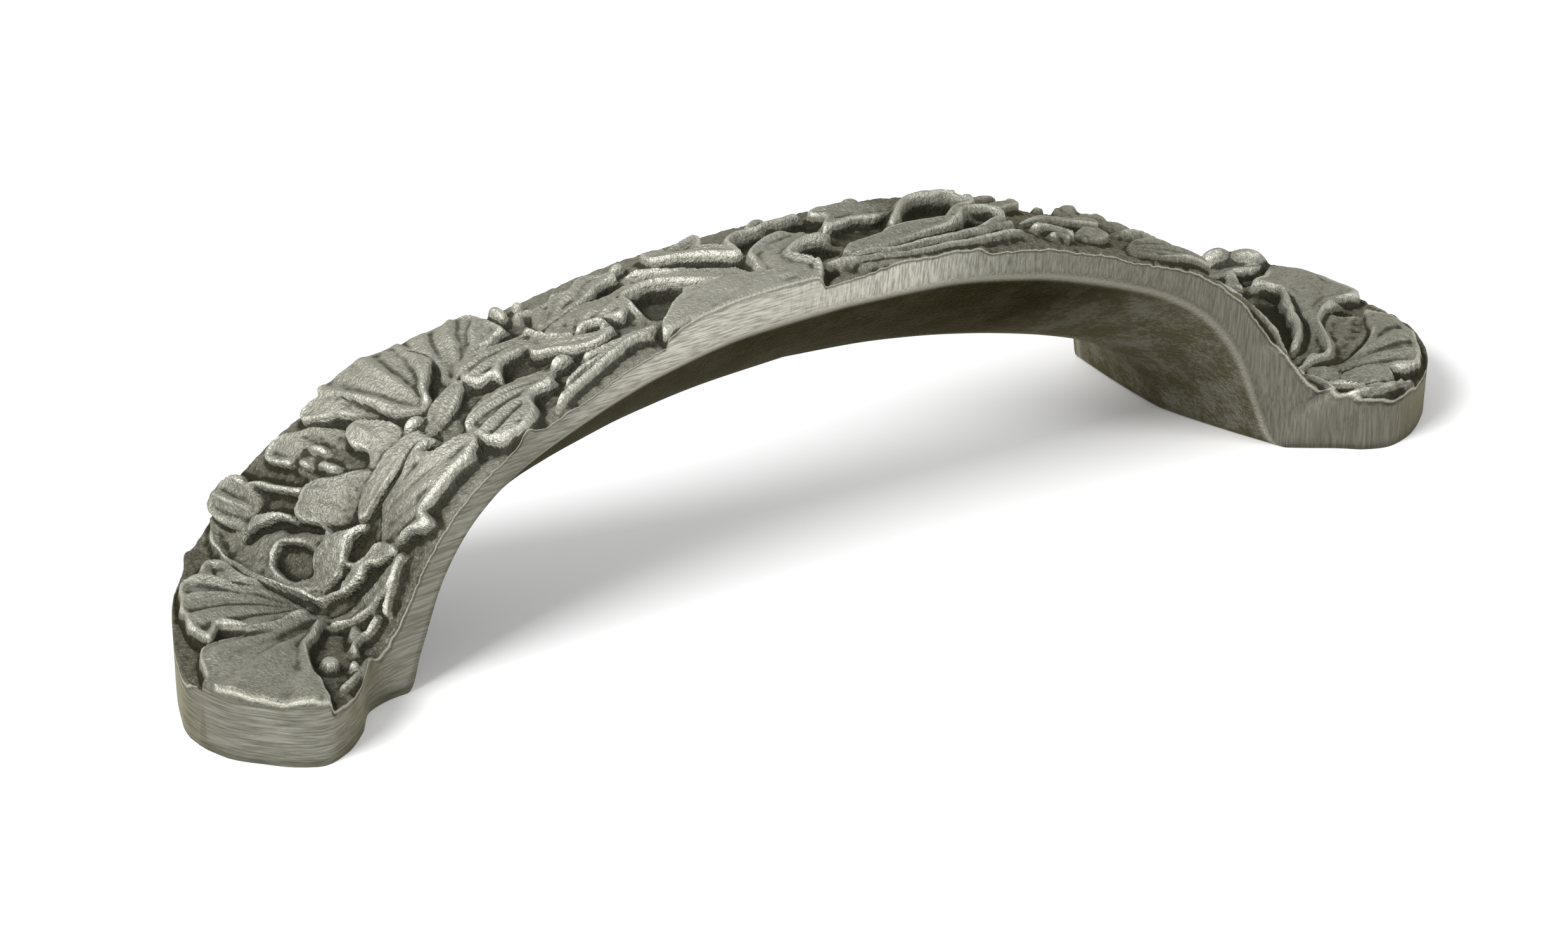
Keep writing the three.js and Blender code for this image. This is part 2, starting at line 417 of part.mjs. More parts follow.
  ridge([[2.2, -0.5], [3.1, 0.4], [4, 1], [4.8, 1.9], [4, 2.8]], 0.3, 1.35),
  bud(6.9, 2.9, 0.95, 0.4, 0, 1.4),
  // Right half: two hollows with looped rims.
  pit([[7.4, -2.1], [8.3, -0.9], [9.4, 0.4], [10.6, 1.5], [12.4, 2.1], [14.3, 1.9], [14.7, 1.1],
    [13.8, 0], [12, -0.8], [10.6, -1.9], [9, -2.4]], -0.35),
  ridge([[6.7, -2.8], [7, -1.6], [8.2, -0.6], [9.3, 0.6], [10.5, 1.8], [12.4, 2.5], [14.8, 2.3],
    [15.5, 1.3], [14.8, 0.2], [12.9, -0.8], [11.2, -1.9], [9.2, -2.7]], 0.28, 1.35),
  leaf([[0.8, -4.2], [1.6, -3.4], [3, -3.2], [4.6, -3.1], [5.4, -2.8], [7, -2.7], [9, -2.6],
    [10.6, -2.6], [10.8, -3.4], [9.6, -4.2], [8, -4.6], [5.6, -4.8], [2.4, -4.7]], 1.15, 0.3, 0.15),
  pit([[9.9, -4.5], [11, -3.4], [12.3, -2.3], [13.5, -1.9], [14, -2.5], [13.2, -3.7], [11.8, -4.5],
    [10.7, -4.8]], -0.25),
  ridge([[9.6, -4.9], [11.8, -4.8], [13.8, -4], [15.2, -2.8], [15.3, -1.6], [14.2, -1.1], [12.6, -1.6],
    [11.1, -2.9], [9.5, -4.2]], 0.28, 1.4),
  ridge([[0, -4.6], [2, -5.2], [5, -5.4], [8, -5.2], [11, -5.1], [14, -4.6], [15.6, -3.8]], 0.3, 1.1),
  ridge([[-1.6, -4.4], [0.6, -5.5], [3, -6.1], [6, -6.4], [10, -6.2], [13, -5.8], [16.2, -5.4]],
    0.24, 1),
  ridge([[0.4, -6.1], [3, -6.7], [7, -7], [11, -6.9]], 0.18, 0.7),
  leaf([[14.6, -0.9], [15.6, 0.6], [17.2, 1], [19.4, 2.2], [21.4, 3.8], [20.8, 2], [18.6, 0.4],
    [16.6, -0.6]], 1.1, 0.1, 0.15),
  leaf([[15.6, 1.6], [17.2, 2.2], [19.2, 3.4], [21.2, 4.6], [19.6, 4.4], [17, 3], [15.2, 2.6]],
    0.9, 0.1, 0.1),
  leaf([[16.2, -3.4], [17.6, -2.4], [19.6, -1.5], [22.6, -1], [25.4, 0.6], [26.2, 0], [24.4, -1.6],
    [21.8, -2.2], [19.2, -2.4]], 1.1, 0.1, 0.15),
  leaf([[19.7, -5], [20.6, -4], [22, -3.2], [23, -3.3], [23.2, -4.4], [22, -5.6], [20.6, -5.7]],
    1.1, 0.45, 0),
  ridge([[16, -4.8], [17.2, -4.8], [18.3, -5.3], [18.8, -6]], 0.3, 1.1),
  ridge([[16.6, -6.1], [17.6, -5.7], [18.2, -6.4]], 0.25, 0.8),
  // Right leg, on the side away from the photograph: the same leaves, berries and ribbons.
  leaf([[23.6, -6.6], [25, -4.6], [27, -3.4], [29.6, -3], [31.6, -3.6], [32.2, -5], [30.8, -6.2],
    [28.4, -7], [25.8, -7.3]], 1.15, 0.15, 0.25, [22, -5.4, 22, 0.2]),
  leaf([[25, 2.6], [26, 0.8], [28, 0], [30.6, 0.4], [32.4, 2], [33.2, 4.6], [32.4, 7], [30.4, 8],
    [28.2, 6.6], [26.4, 4.6]], 1.25, 0.15, 0.2, [25, 0.6, 18, 0.26]),
  leaf([[33.6, 10.4], [34, 8], [35.4, 6.4], [37.6, 6], [39.6, 7.2], [40.8, 9.4], [40.4, 11.8],
    [38.4, 12.4], [35.8, 11.8]], 1.15, 0.15, 0.2, [34.6, 6, 16, 0.24]),
  ridge([[26, -1.4], [28, -1.9], [30.6, -1.6], [33, -0.8], [35.2, 0.8], [36.6, 3], [37, 5.2]],
    0.32, 1.15),
  ridge([[31.8, -3.2], [33.6, -2.4], [36, -2], [38.4, -0.8], [40.2, 1.2], [41.4, 3.8]], 0.3, 1.1),
  leaf([[33.8, -6.8], [34.8, -4.9], [36.6, -4.2], [38.8, -4.6], [40.4, -5.8], [40.6, -7.2],
    [38.4, -7.6], [35.8, -7.6]], 1.1, 0.15, 0.25, [33, -6, 24, 0.2]),
  leaf([[36.4, -3], [38, -3.4], [40.2, -3], [42.2, -1.2], [43.4, 1.4], [43.6, 4], [42.6, 2.6],
    [41, 0.4], [38.8, -1.6]], 1, 0.1, 0.2),
  leaf([[38.2, 1.8], [39.4, 2.8], [41, 4.6], [42.2, 7], [42.6, 9.6], [41.4, 8.8], [40, 6.6],
    [38.6, 4.4]], 1.05, 0.1, 0.2),
  bud(34.8, 3.4, 0.9, 0.5, 60, 1.3),
  bud(33.4, 1.4, 0.75, 0.5, 20, 1.2),
  bud(42.4, 11.6, 0.8, 0.5, 40, 1.3),
  bud(30.2, -0.6, 0.8, 0.4, -10, 1.2),
  bud(24.2, 3.9, 0.8, 0.45, 35, 1.2),
  // Right foot: two looped rims, deep hollows, fan leaves and berries.
  ridge([[42.4, -7.9], [43.2, -6.7], [44.6, -6.3], [46.2, -5.9]], 0.25, 1.1),
  ridge([[44, -4.2], [45.6, -1.8], [47.2, 0.8], [48.6, 3.2], [49.6, 5.8], [50.2, 8.6], [50.5, 11.2]],
    0.24, 1.05),
  ridge([[47.4, 3], [48.2, 5.4], [48.8, 8], [49, 10.6], [49.6, 12.8]], 0.26, 0.9),
  ridge([[45.4, 3], [46.4, 5.6], [47, 8.2], [47.2, 10.8]], 0.3, 0.8),
  pit([[49.6, 6], [50.6, 6.3], [51.5, 5.2], [51.1, 3.6], [50, 1.8], [48.6, -0.2], [46.8, -2.3],
    [45.4, -3.7], [44.9, -3.3], [46.2, -1.2], [47.6, 1.4], [48.8, 3.8]], -0.35),
  leaf([[52.1, 7.8], [54, 8.7], [55.8, 9.6], [56.6, 7.6], [56.7, 4.6], [56.5, 1.6], [55.2, 1.6],
    [53.4, 1.6], [51.6, 0.5], [50.2, -0.8], [49, -2.8], [47.8, -4.6], [45.6, -5.7], [44.2, -5.2],
    [46, -4.1], [47.8, -2.9], [49.6, -0.7], [51.2, 1.8], [52.6, 4.8], [52, 6.4]],
    1.15, 0.25, 0.15, [44, -6.5, 26, 0.16]),
  ridge([[45.3, -3.7], [47, -2.6], [48.8, -0.5], [50.6, 2], [51.9, 4.1], [52.7, 5.6], [52.1, 6.8],
    [51.4, 8.2]], 0.3, 1.55),
  leaf([[50.5, 8.5], [51.2, 9.6], [52, 11.2], [52.9, 12.2], [52.7, 10.6], [51.8, 8.9], [51.1, 7.6]],
    1.25, 0.15, 0.1),
  pit([[52, 8.4], [52.9, 10.2], [53.8, 11], [55, 9.9], [54.6, 9.1], [53.2, 8.3]], -0.2),
  leaf([[48.6, -4.3], [50, -2], [51.6, -0.4], [53, 0.2], [54, -1.2], [53.2, -3], [51.4, -4.6],
    [49.4, -5.8], [47, -6.7], [45.8, -6.4], [47.4, -5.6]], 0.6, 0, 0.15),
  pit([[52.3, 0.3], [53.6, 1], [54.7, 1.1], [55, 0.2], [54.6, -0.8], [53.8, -0.9], [53, -0.2]], -0.1),
  ridge([[43.6, -6], [45.2, -6], [47.2, -5.4], [48.4, -4.2], [49.4, -2.4], [50.6, -0.7], [52.2, 0.6],
    [53.8, 1.4], [55.2, 1.2]], 0.26, 1.5),
  leaf([[54.6, -1.1], [55.4, -2.8], [54.8, -5.4], [53.4, -7.8], [51.6, -9.9], [49.6, -11],
    [48.7, -10.2], [48.3, -9.2], [46.6, -8.3], [44.8, -7.5], [44.8, -6.9], [47.2, -6.8], [49.8, -5.9],
    [52, -4.3], [53.6, -2.3]], 1.1, 0.25, 0.2, [43.4, -6.4, 22, 0.22]),
  pit([[44.9, -9.9], [45.8, -9.3], [47.2, -9.2], [48, -9.8], [47.4, -10.7], [46, -10.8]], 0.05),
  ridge([[44.3, -9.9], [45.6, -9], [47.2, -8.8], [48.3, -9.5], [47.8, -10.7], [46.4, -11.1]],
    0.22, 1.1),
  bud(44.9, -8.2, 0.8, 0.5, -20, 1.1),
  bud(43.6, -8, 0.6, 0.4, 30, 0.9),
  leaf([[50.2, 10.4], [51, 11.6], [51.6, 13], [53, 13.6], [54.6, 12.6], [55.4, 10.6], [54.6, 9.6],
    [52.6, 10]], 1.2, 0, 0),
  bud(52.5, 12.4, 1.5, 1, 20, 2.45),
  bud(54.2, 11, 1.4, 1, -40, 2.6),
  ridge([[42.4, -11.6], [43.6, -12.9], [45.6, -13.4], [47.4, -13], [49, -11.8], [50.6, -10.2]],
    0.3, 1.1),
  ridge([[43.2, -9.2], [44, -10.8], [45.6, -11.8], [47.2, -11.9], [48.8, -11]], 0.28, 1.2),
];

// Height of the relief at a distance s along the bow and a place y across it.
function relief(s, y) {
  return RELIEF * MOTIFS.reduce((ground, motif) => motif(s, y, ground), 0);
}

// The outward direction of the face at a knot, in the XZ plane.
function faceNormal(knot) {
  const step = 0.02;
  const a = face(Math.max(knot - step, -LAST_KNOT));
  const b = face(Math.min(knot + step, LAST_KNOT));
  const size = Math.hypot(b.x - a.x, b.z - a.z);
  return { x: -(b.z - a.z) / size, z: (b.x - a.x) / size };
}

// An edge of the back: it keeps the plan outline, and runs straight between corners under a foot.
function footEdge(edge, knot) {
  const away = Math.abs(knot);
  const x = back(knot).x;
  if (away <= FOOT_CORNERS[0]) return edge(x);
  const next = Math.max(FOOT_CORNERS.findIndex((corner) => corner >= away - 1e-9), 1);
  const from = back(Math.sign(knot) * FOOT_CORNERS[next - 1]).x;
  const to = back(Math.sign(knot) * FOOT_CORNERS[next]).x;
  return edge(from) + ((edge(to) - edge(from)) * (x - from)) / (to - from);
}

// One closed ring of points: face from near to far, then the back from far to near.
function section({ s, knot }) {
  const top = face(knot);
  const low = back(knot);
  const deep = keel(knot);
  const normal = faceNormal(knot);
  const near = nearEdge(top.x);
  const far = farEdge(top.x);
  const ring = [];
  for (let i = 0; i <= ACROSS; i++) {
    const y = near + ((far - near) * i) / ACROSS;
    const crown = CROWN * 4 * (i / ACROSS) * (1 - i / ACROSS) * smooth(0, ARCH_HEIGHT, top.z);
    const lift = crown + relief(s, y);
    ring.push([top.x + normal.x * lift, y, top.z + normal.z * lift]);
  }
  const lowNear = footEdge(nearEdge, knot) + WALL_DRAFT;
  const lowFar = footEdge(farEdge, knot) - WALL_DRAFT;
  const ridge = Math.min(Math.max(KEEL_OFFSET, lowNear + 1), lowFar - 1);
  for (let i = 0; i <= BELLY_STEPS; i++) {
    const t = 1 - (2 * i) / BELLY_STEPS;
    const belly = 1 - Math.abs(t) ** BELLY_POWER;
    const y = t > 0 ? ridge + t * (lowFar - ridge) : ridge + t * (ridge - lowNear);
    ring.push([low.x + (deep.x - low.x) * belly, y, low.z + (deep.z - low.z) * belly]);
  }
  return ring;
}

// The mean of a ring's points.
function middleOf(ring) {
  return [0, 1, 2].map((axis) => ring.reduce((sum, point) => sum + point[axis], 0) / ring.length);
}

// Joins the rings into one closed surface with a cap at each tip, a fan from the cap's middle.
function loft(rings) {
  const size = rings[0].length;
  const count = rings.length;
  const points = [...rings.flat(), middleOf(rings[0]), middleOf(rings[count - 1])].flat();
  const faces = [];
  for (let i = 0; i < count - 1; i++) {
    for (let j = 0; j < size; j++) {
      const a = i * size + j;
      const b = i * size + ((j + 1) % size);
      faces.push(a, a + size, b, b, a + size, b + size);
    }
  }
  const last = (count - 1) * size;
  const firstMiddle = count * size;
  for (let i = 0; i < size; i++) {
    const next = (i + 1) % size;
    faces.push(firstMiddle, i, next, firstMiddle + 1, last + next, last + i);
  }
  return { points, faces };
}

function solidOf(points, faces) {
  const mesh = new wasm.Mesh({
    numProp: 3,
    vertProperties: new Float32Array(points),
    triVerts: new Uint32Array(faces),
  });
  return new wasm.Manifold(mesh);
}

function casting() {
  const { points, faces } = loft(stationKnots().map(section));
  return solidOf(points, faces);
}

// A round plug for a screw hole, from below the foot up to the hole's roof.
function screwHole(side) {
  const depth = PAD_THICKNESS - HOLE_ROOF;
  const radius = HOLE_DIAMETER / 2;
  const plug = new THREE.CylinderGeometry(radius, radius, depth + HOLE_RUN_OUT, HOLE_SIDES);
  plug.rotateX(Math.PI / 2);
  plug.translate((side * SCREW_SPACING) / 2, 0, (depth - HOLE_RUN_OUT) / 2);
  plug.deleteAttribute('normal');
  plug.deleteAttribute('uv');
  const closed = mergeVertices(plug);
  return solidOf(closed.attributes.position.array, closed.index.array);
}

function toGeometry(manifold) {
  const { vertProperties, triVerts, numProp } = manifold.getMesh();
  const position = [];
  for (let i = 0; i < vertProperties.length; i += numProp) {
    position.push(vertProperties[i], vertProperties[i + 1], vertProperties[i + 2]);
  }
  const geometry = new THREE.BufferGeometry();
  geometry.setAttribute('position', new THREE.Float32BufferAttribute(position, 3));
  geometry.setIndex(Array.from(triVerts));
  geometry.computeVertexNormals();
  return geometry;
}

const pewter = new THREE.MeshStandardMaterial({
  name: 'pewter',
  color: new THREE.Color(0.3, 0.3, 0.26),
  metalness: 1,
  roughness: 0.45,
});

const solid = casting().subtract(screwHole(-1)).subtract(screwHole(1));
const pull = new THREE.Mesh(toGeometry(solid), pewter);
pull.name = 'pull';
pull.position.x = -centre;

const group = new THREE.Group();
group.name = 'leaf_shaped_pull';
group.add(pull);

export default group;
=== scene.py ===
import math

import bpy
import numpy as np
from mathutils import Matrix

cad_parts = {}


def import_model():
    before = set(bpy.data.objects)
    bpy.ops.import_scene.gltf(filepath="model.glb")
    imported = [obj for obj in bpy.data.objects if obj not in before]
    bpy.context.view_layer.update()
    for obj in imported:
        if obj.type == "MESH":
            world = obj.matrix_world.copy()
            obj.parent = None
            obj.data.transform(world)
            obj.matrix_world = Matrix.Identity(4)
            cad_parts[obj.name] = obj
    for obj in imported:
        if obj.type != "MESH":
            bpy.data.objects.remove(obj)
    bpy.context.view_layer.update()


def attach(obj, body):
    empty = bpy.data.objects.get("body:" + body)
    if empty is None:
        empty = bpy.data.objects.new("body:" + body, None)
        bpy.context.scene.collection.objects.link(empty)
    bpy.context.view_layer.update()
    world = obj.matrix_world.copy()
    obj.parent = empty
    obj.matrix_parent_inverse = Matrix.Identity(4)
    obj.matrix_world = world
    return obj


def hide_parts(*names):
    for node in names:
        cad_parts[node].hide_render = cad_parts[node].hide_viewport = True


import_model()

# Cast antique-pewter bow pull with flowers and leaves carved in its face.
# Lengths are in millimetres until a mesh or the camera is made, and X runs along the bow.

MM = 0.001

# Overall sizes of the casting.
ARCH_SPAN = 76.7
ARCH_HEIGHT = 19.1
LEFT_REACH = 49.7
RIGHT_REACH = 51.9
PAD_THICKNESS = 3.6
EDGE_THICKNESS = 1.7
BAR_DEPTH = 8.1
WALL_DRAFT = 0.25
KEEL_OFFSET = 1.6
BELLY_POWER = 1.3
CROWN = 0.3
PAD_MIDDLE = 1.147
LAST_KNOT = 10

# Fineness of the grid: along the bow, across the face, down a wall, across the back.
STATIONS = 740
FACE_STEPS = 102
WALL_STEPS = 5
BACK_STEPS = 14
PROFILE_STEPS = 8000
NORMAL_STEP = 0.02
CURVE_STEPS = 6

# Share of the heights in the motif list at which the relief is cast.
RELIEF = 0.74

# Leaves: soft outline, domed middle, raised rim, and ribs that run from a sunken base.
SOFT_EDGE = 0.12
DOME_REACH = 1.2
RIM_WIDTH = 0.2
RIM_SHARE = 0.7
BASE_SINK = 0.6
PLAIN_SINK = 0.36
BASE_SPREAD = 0.7
RIB_SHARE = 1.2
RIB_REACH = 0.72
FINE_RIB = 0.35
FINE_RIB_PACE = 2.3
VEINS = 2.5
VEIN_HEIGHT = 0.07
VEIN_DISTANCE = 1.6
NARROWEST = 0.8

# Ridges and pits.
SKIRT = 2.2
CREST_ROUND = 0.1
FLANK_POWER = 1.8
TAPER = 0.14
PIT_DROP = 0.35

# Unevenness: what it moves or lifts, and the size of its cells on a repeating lattice.
LATTICE = 256
RUFFLE = 0.16
RUFFLE_CELL = 1.3
GRAIN_HEIGHT = 0.06
GRAIN_CELL = 0.42
FINE_GRAIN = 0.6
WAVE_HEIGHT = 0.08
WAVE_CELL = 2.6
SMOOTH_TOPS = 0.75
GAP_FILL = 0.45
GAP_REACH = (2, 1)

# Edges: the face drops at its own edge, and the keel keeps clear of a narrow back's edges.
EDGE_ROUND = 0.3
EDGE_DROP = 0.12
KEEL_ROOM = 1
NARROW_SHARE = 0.45

# Numbers for the material: which side a point is on, and how wide lips and ridges are in steps.
FACE_SIDE, WALL_SIDE, BACK_SIDE = 0, 0.5, 1
LIP_REACH = 3
RIDGE_REACH = 8

# Half profiles from the middle to the leg's foot: share of the half span, share of the height.
FACE_PROFILE = [
    (0, 1), (0.199, 0.985), (0.391, 0.93), (0.587, 0.78), (0.733, 0.645), (0.832, 0.47),
    (0.905, 0.246), (0.954, 0.065), (1, 0),
]
BACK_PROFILE = [
    (0, 1), (0.196, 0.993), (0.391, 0.937), (0.574, 0.822), (0.703, 0.7), (0.795, 0.546),
    (0.85, 0.374), (0.891, 0.15), (0.923, 0),
]
KEEL_PROFILE = [
    (0, 1), (0.17, 0.964), (0.3, 0.91), (0.43, 0.83), (0.596, 0.69), (0.689, 0.58),
    (0.768, 0.43), (0.832, 0.23), (0.876, 0),
]

# Plan outline by knot: the foot of the left leg is -8, its tip -10, and so on the right.
NEAR_EDGE = [
    (-10, -6.3), (-9.95, -8), (-9.75, -9.9), (-9.5, -11.6), (-9.23, -12.4), (-8.9, -11.7),
    (-8.52, -9.8), (-8.08, -7.3), (-6.7, -6.5), (-4, -6.1), (-2.5, -5.7), (0, -4.95),
    (1, -5.2), (2.5, -5.7), (4, -6.05), (5.8, -6.4), (6.2, -7.3), (7, -8.5),
    (7.6, -9.2), (8, -9.9), (8.25, -10.8), (8.55, -11.4), (8.85, -10.9), (9.1, -10),
    (9.35, -8.6), (9.5, -7.5), (9.73, -5.1), (9.92, -2.2), (10, 0),
]
FAR_EDGE = [
    (-10, -5), (-9.97, -3.6), (-9.78, -1), (-9.35, 3.4), (-8.9, 7.4), (-8.4, 11.2),
    (-8, 13.6), (-6.7, 14.3), (-5.4, 12.6), (-4.5, 11), (-3.7, 9.8), (-3, 8.6),
    (-2.5, 7.6), (-2, 7), (-1, 6.8), (0, 6.8), (1, 7), (2, 6.8),
    (2.7, 6), (3.15, 5.8), (3.7, 7), (4.35, 9.5), (5.2, 12.5), (6.4, 14.8),
    (8.3, 15.8), (9, 15.6), (9.45, 14.4), (9.76, 11.8), (9.95, 8), (10, 5),
]


def smooth(low, high, value):
    """Smooth step: 0 below low, 1 above high, and 3t squared less 2t cubed between."""
    t = np.clip((value - low) / (high - low), 0, 1)
    return t * t * (3 - 2 * t)


def monotone(points):
    """Cubic through the points with harmonic-mean slopes, so that it never overshoots them."""
    x, y = np.array(points, float).T
    slope = np.diff(y) / np.diff(x)
    tangent = np.zeros(len(x))
    tangent[0], tangent[-1] = slope[0], slope[-1]
    rising = slope[:-1] * slope[1:] > 0
    tangent[1:-1][rising] = 2 / (1 / slope[:-1][rising] + 1 / slope[1:][rising])

    def curve_at(q):
        q = np.asarray(q, float)
        k = np.clip(np.searchsorted(x, q, side="left") - 1, 0, len(x) - 2)
        step = x[k + 1] - x[k]
        t = np.clip((q - x[k]) / step, 0, 1)
        bend = t * (1 - t) ** 2 * tangent[k] + t * t * (t - 1) * tangent[k + 1]
        return y[k] + (y[k + 1] - y[k]) * t * t * (3 - 2 * t) + step * bend

    return curve_at


def profile(points, height, base):
    """Two curves of the knot number: x by knot to the tip, and height from the base."""
    shares = points + [(PAD_MIDDLE, 0)]
    knots = [(i, p[0] * ARCH_SPAN / 2) for i, p in enumerate(shares)]
    left = monotone(knots + [(len(shares), LEFT_REACH)])
    right = monotone(knots + [(len(shares), RIGHT_REACH)])
    up = monotone([(i, base + p[1] * (height - base)) for i, p in enumerate(shares + [(1, 0)])])

    def at(knot):
        away = np.abs(knot)
        return np.where(knot < 0, -left(away), right(away)), up(away)

    return at


face = profile(FACE_PROFILE, ARCH_HEIGHT, PAD_THICKNESS)
back = profile(BACK_PROFILE, ARCH_HEIGHT - EDGE_THICKNESS, 0)
keel = profile(KEEL_PROFILE, ARCH_HEIGHT - BAR_DEPTH, 0)
MIDDLE = (min(p[1] for p in NEAR_EDGE) + max(p[1] for p in FAR_EDGE)) / 2
CENTRE = (RIGHT_REACH - LEFT_REACH) / 2
near_edge = monotone([(float(face(knot)[0]), y - MIDDLE) for knot, y in NEAR_EDGE])
far_edge = monotone([(float(face(knot)[0]), y - MIDDLE) for knot, y in FAR_EDGE])


def stations():
    """Knots and distances from the middle, at equal steps of arc length along the face."""
    fine = np.linspace(-LAST_KNOT, LAST_KNOT, PROFILE_STEPS + 1)
    x, z = face(fine)
    length = np.concatenate([[0], np.cumsum(np.hypot(np.diff(x), np.diff(z)))])
    length -= np.interp(0, fine, length)
    s = np.linspace(length[0], length[-1], STATIONS + 1)
    return np.interp(s, length, fine), s


def face_normal(knot):
    """Unit vector square to the face profile, in the XZ plane, from a small step either way."""
    xa, za = face(np.maximum(knot - NORMAL_STEP, -LAST_KNOT))
    xb, zb = face(np.minimum(knot + NORMAL_STEP, LAST_KNOT))
    size = np.hypot(xb - xa, zb - za)
    return -(zb - za) / size, (xb - xa) / size


def curve(points, ringed):
    """Short straight steps of a smooth curve through the points, sloped by their neighbours."""
    p = np.array(points, float)
    if ringed:
        before, start, to, after = np.roll(p, 1, 0), p, np.roll(p, -1, 0), np.roll(p, -2, 0)
    else:
        wide = np.concatenate([p[:1], p, p[-1:]])
        before, start, to, after = wide[:-3], wide[1:-2], wide[2:-1], wide[3:]
    t = (np.arange(CURVE_STEPS) / CURVE_STEPS)[None, :, None]
    leave, arrive = (to - before)[:, None] / 2, (after - start)[:, None] / 2
    rise = t * t * (3 - 2 * t)
    bend = leave * t * (1 - t) ** 2 + arrive * t * t * (t - 1)
    steps = start[:, None] + (to - start)[:, None] * rise + bend
    return np.concatenate([steps.reshape(-1, 2), p[:1] if ringed else p[-1:]])


class Patch:
    """The part of the height grid that one motif can reach, as flat arrays."""

    def __init__(self, s, y, points, reach):
        low, high = np.min(points, 0) - reach, np.max(points, 0) + reach
        self.where = np.nonzero((s > low[0]) & (s < high[0]) & (y > low[1]) & (y < high[1]))
        self.s, self.y = s[self.where], y[self.where]


def nearest_on(steps, s, y):
    """Distance to the curve, how far along it that is, and whether the curve rings the place."""
    distance = np.full(s.shape, np.inf)
    along = np.zeros(s.shape)
    inside = np.zeros(s.shape, bool)
    for i, ((s0, y0), (s1, y1)) in enumerate(zip(steps[:-1], steps[1:])):
        ds, dy = s1 - s0, y1 - y0
        t = np.clip(((s - s0) * ds + (y - y0) * dy) / max(ds * ds + dy * dy, 1e-12), 0, 1)
        d = np.hypot(s - s0 - t * ds, y - y0 - t * dy)
        closer = d < distance
        distance = np.where(closer, d, distance)
        along = np.where(closer, (i + t) / (len(steps) - 1), along)
        if y0 != y1:
            inside ^= ((y0 > y) != (y1 > y)) & (s < s0 + (y - y0) / dy * ds)
    return distance, along, inside


def veins(outline):
    """Faint ribs for a plain leaf, from a far point on its long axis, behind its first point."""
    p = np.array(outline, float)
    middle = p.mean(0)
    _, spread, axes = np.linalg.svd(p - middle)
    length, width = 2 * spread / math.sqrt(len(p) / 2)
    distance = VEIN_DISTANCE * length
    to_base = axes[0] * np.sign(np.dot(p[0] - middle, axes[0]))
    s0, y0 = middle + to_base * distance
    return s0, y0, 2 * math.pi * VEINS * distance / max(width, NARROWEST), VEIN_HEIGHT


def leaf(outline, height, dome, rim, ribs=None):
    """Level inside the outline, plus a dome, a rim bump along the edge and cosines of the turn.

    The turn is the angle about the place its ribs start from, and the leaf sinks towards that
    place by a smooth step of the distance from it. Ribs are given as that place, the phase that
    their wave gains in each radian of the turn, and their height.
    """
    steps = curve(outline, True)
    sink = BASE_SINK if ribs else PLAIN_SINK
    s0, y0, pace, rib_height = ribs or veins(outline)
    s_middle, y_middle = steps.mean(0)
    middle_turn = math.atan2(y_middle - y0, s_middle - s0)
    reach = np.hypot(*(steps - (s0, y0)).T)
    sunk_to = (1 - BASE_SPREAD) * reach.min() + BASE_SPREAD * reach.max()

    def carve(s, y, ground):
        patch = Patch(s, y, steps, SOFT_EDGE)
        distance, _, inside = nearest_on(steps, patch.s, patch.y)
        depth = np.where(inside, distance, -distance)
        mask = smooth(-SOFT_EDGE, SOFT_EDGE, depth)
        level = height + dome * smooth(0, DOME_REACH, depth)
        level += RIM_SHARE * rim * np.exp(-(((depth - RIM_WIDTH) / RIM_WIDTH) ** 2))
        away = np.hypot(patch.s - s0, patch.y - y0)
        turn = np.arctan2(patch.y - y0, patch.s - s0) - middle_turn
        turn = (turn + math.pi) % (2 * math.pi) - math.pi
        ripple = np.cos(pace * turn) + FINE_RIB * np.cos(FINE_RIB_PACE * pace * turn + 1)
        level += RIB_SHARE * rib_height * ripple * smooth(0, RIB_REACH, depth)
        level *= 1 - sink * (1 - smooth(reach.min(), sunk_to, away))
        under = ground[patch.where]
        ground[patch.where] = under + (level - under) * mask

    return carve


def pit(outline, floor):
    """The floor's level inside the outline, with a steep wall, where that is lower."""
    steps = curve(outline, True)

    def carve(s, y, ground):
        patch = Patch(s, y, steps, SOFT_EDGE)
        distance, _, inside = nearest_on(steps, patch.s, patch.y)
        mask = smooth(-SOFT_EDGE, 2 * SOFT_EDGE, np.where(inside, distance, -distance))
        under = ground[patch.where]
        ground[patch.where] = np.minimum(under, under + (floor - PIT_DROP - under) * mask)

    return carve


def ridge(path, half_width, height):
    """A thin crest with hollow flanks: a power of 1 less the share of the reach.

    It tapers at both ends by a smooth step of the way along it.
    """
    steps = curve(path, False)
    reach = SKIRT * half_width

    def carve(s, y, ground):
        patch = Patch(s, y, steps, reach)
        distance, along, _ = nearest_on(steps, patch.s, patch.y)
        end = smooth(0, TAPER, np.minimum(along, 1 - along))
        blunt = np.sqrt(distance * distance + CREST_ROUND ** 2) - CREST_ROUND
        mask = np.clip(1 - blunt / reach, 0, 1) ** FLANK_POWER * end
        under = ground[patch.where]
        ground[patch.where] = np.maximum(under, under + (height - under) * mask)

    return carve


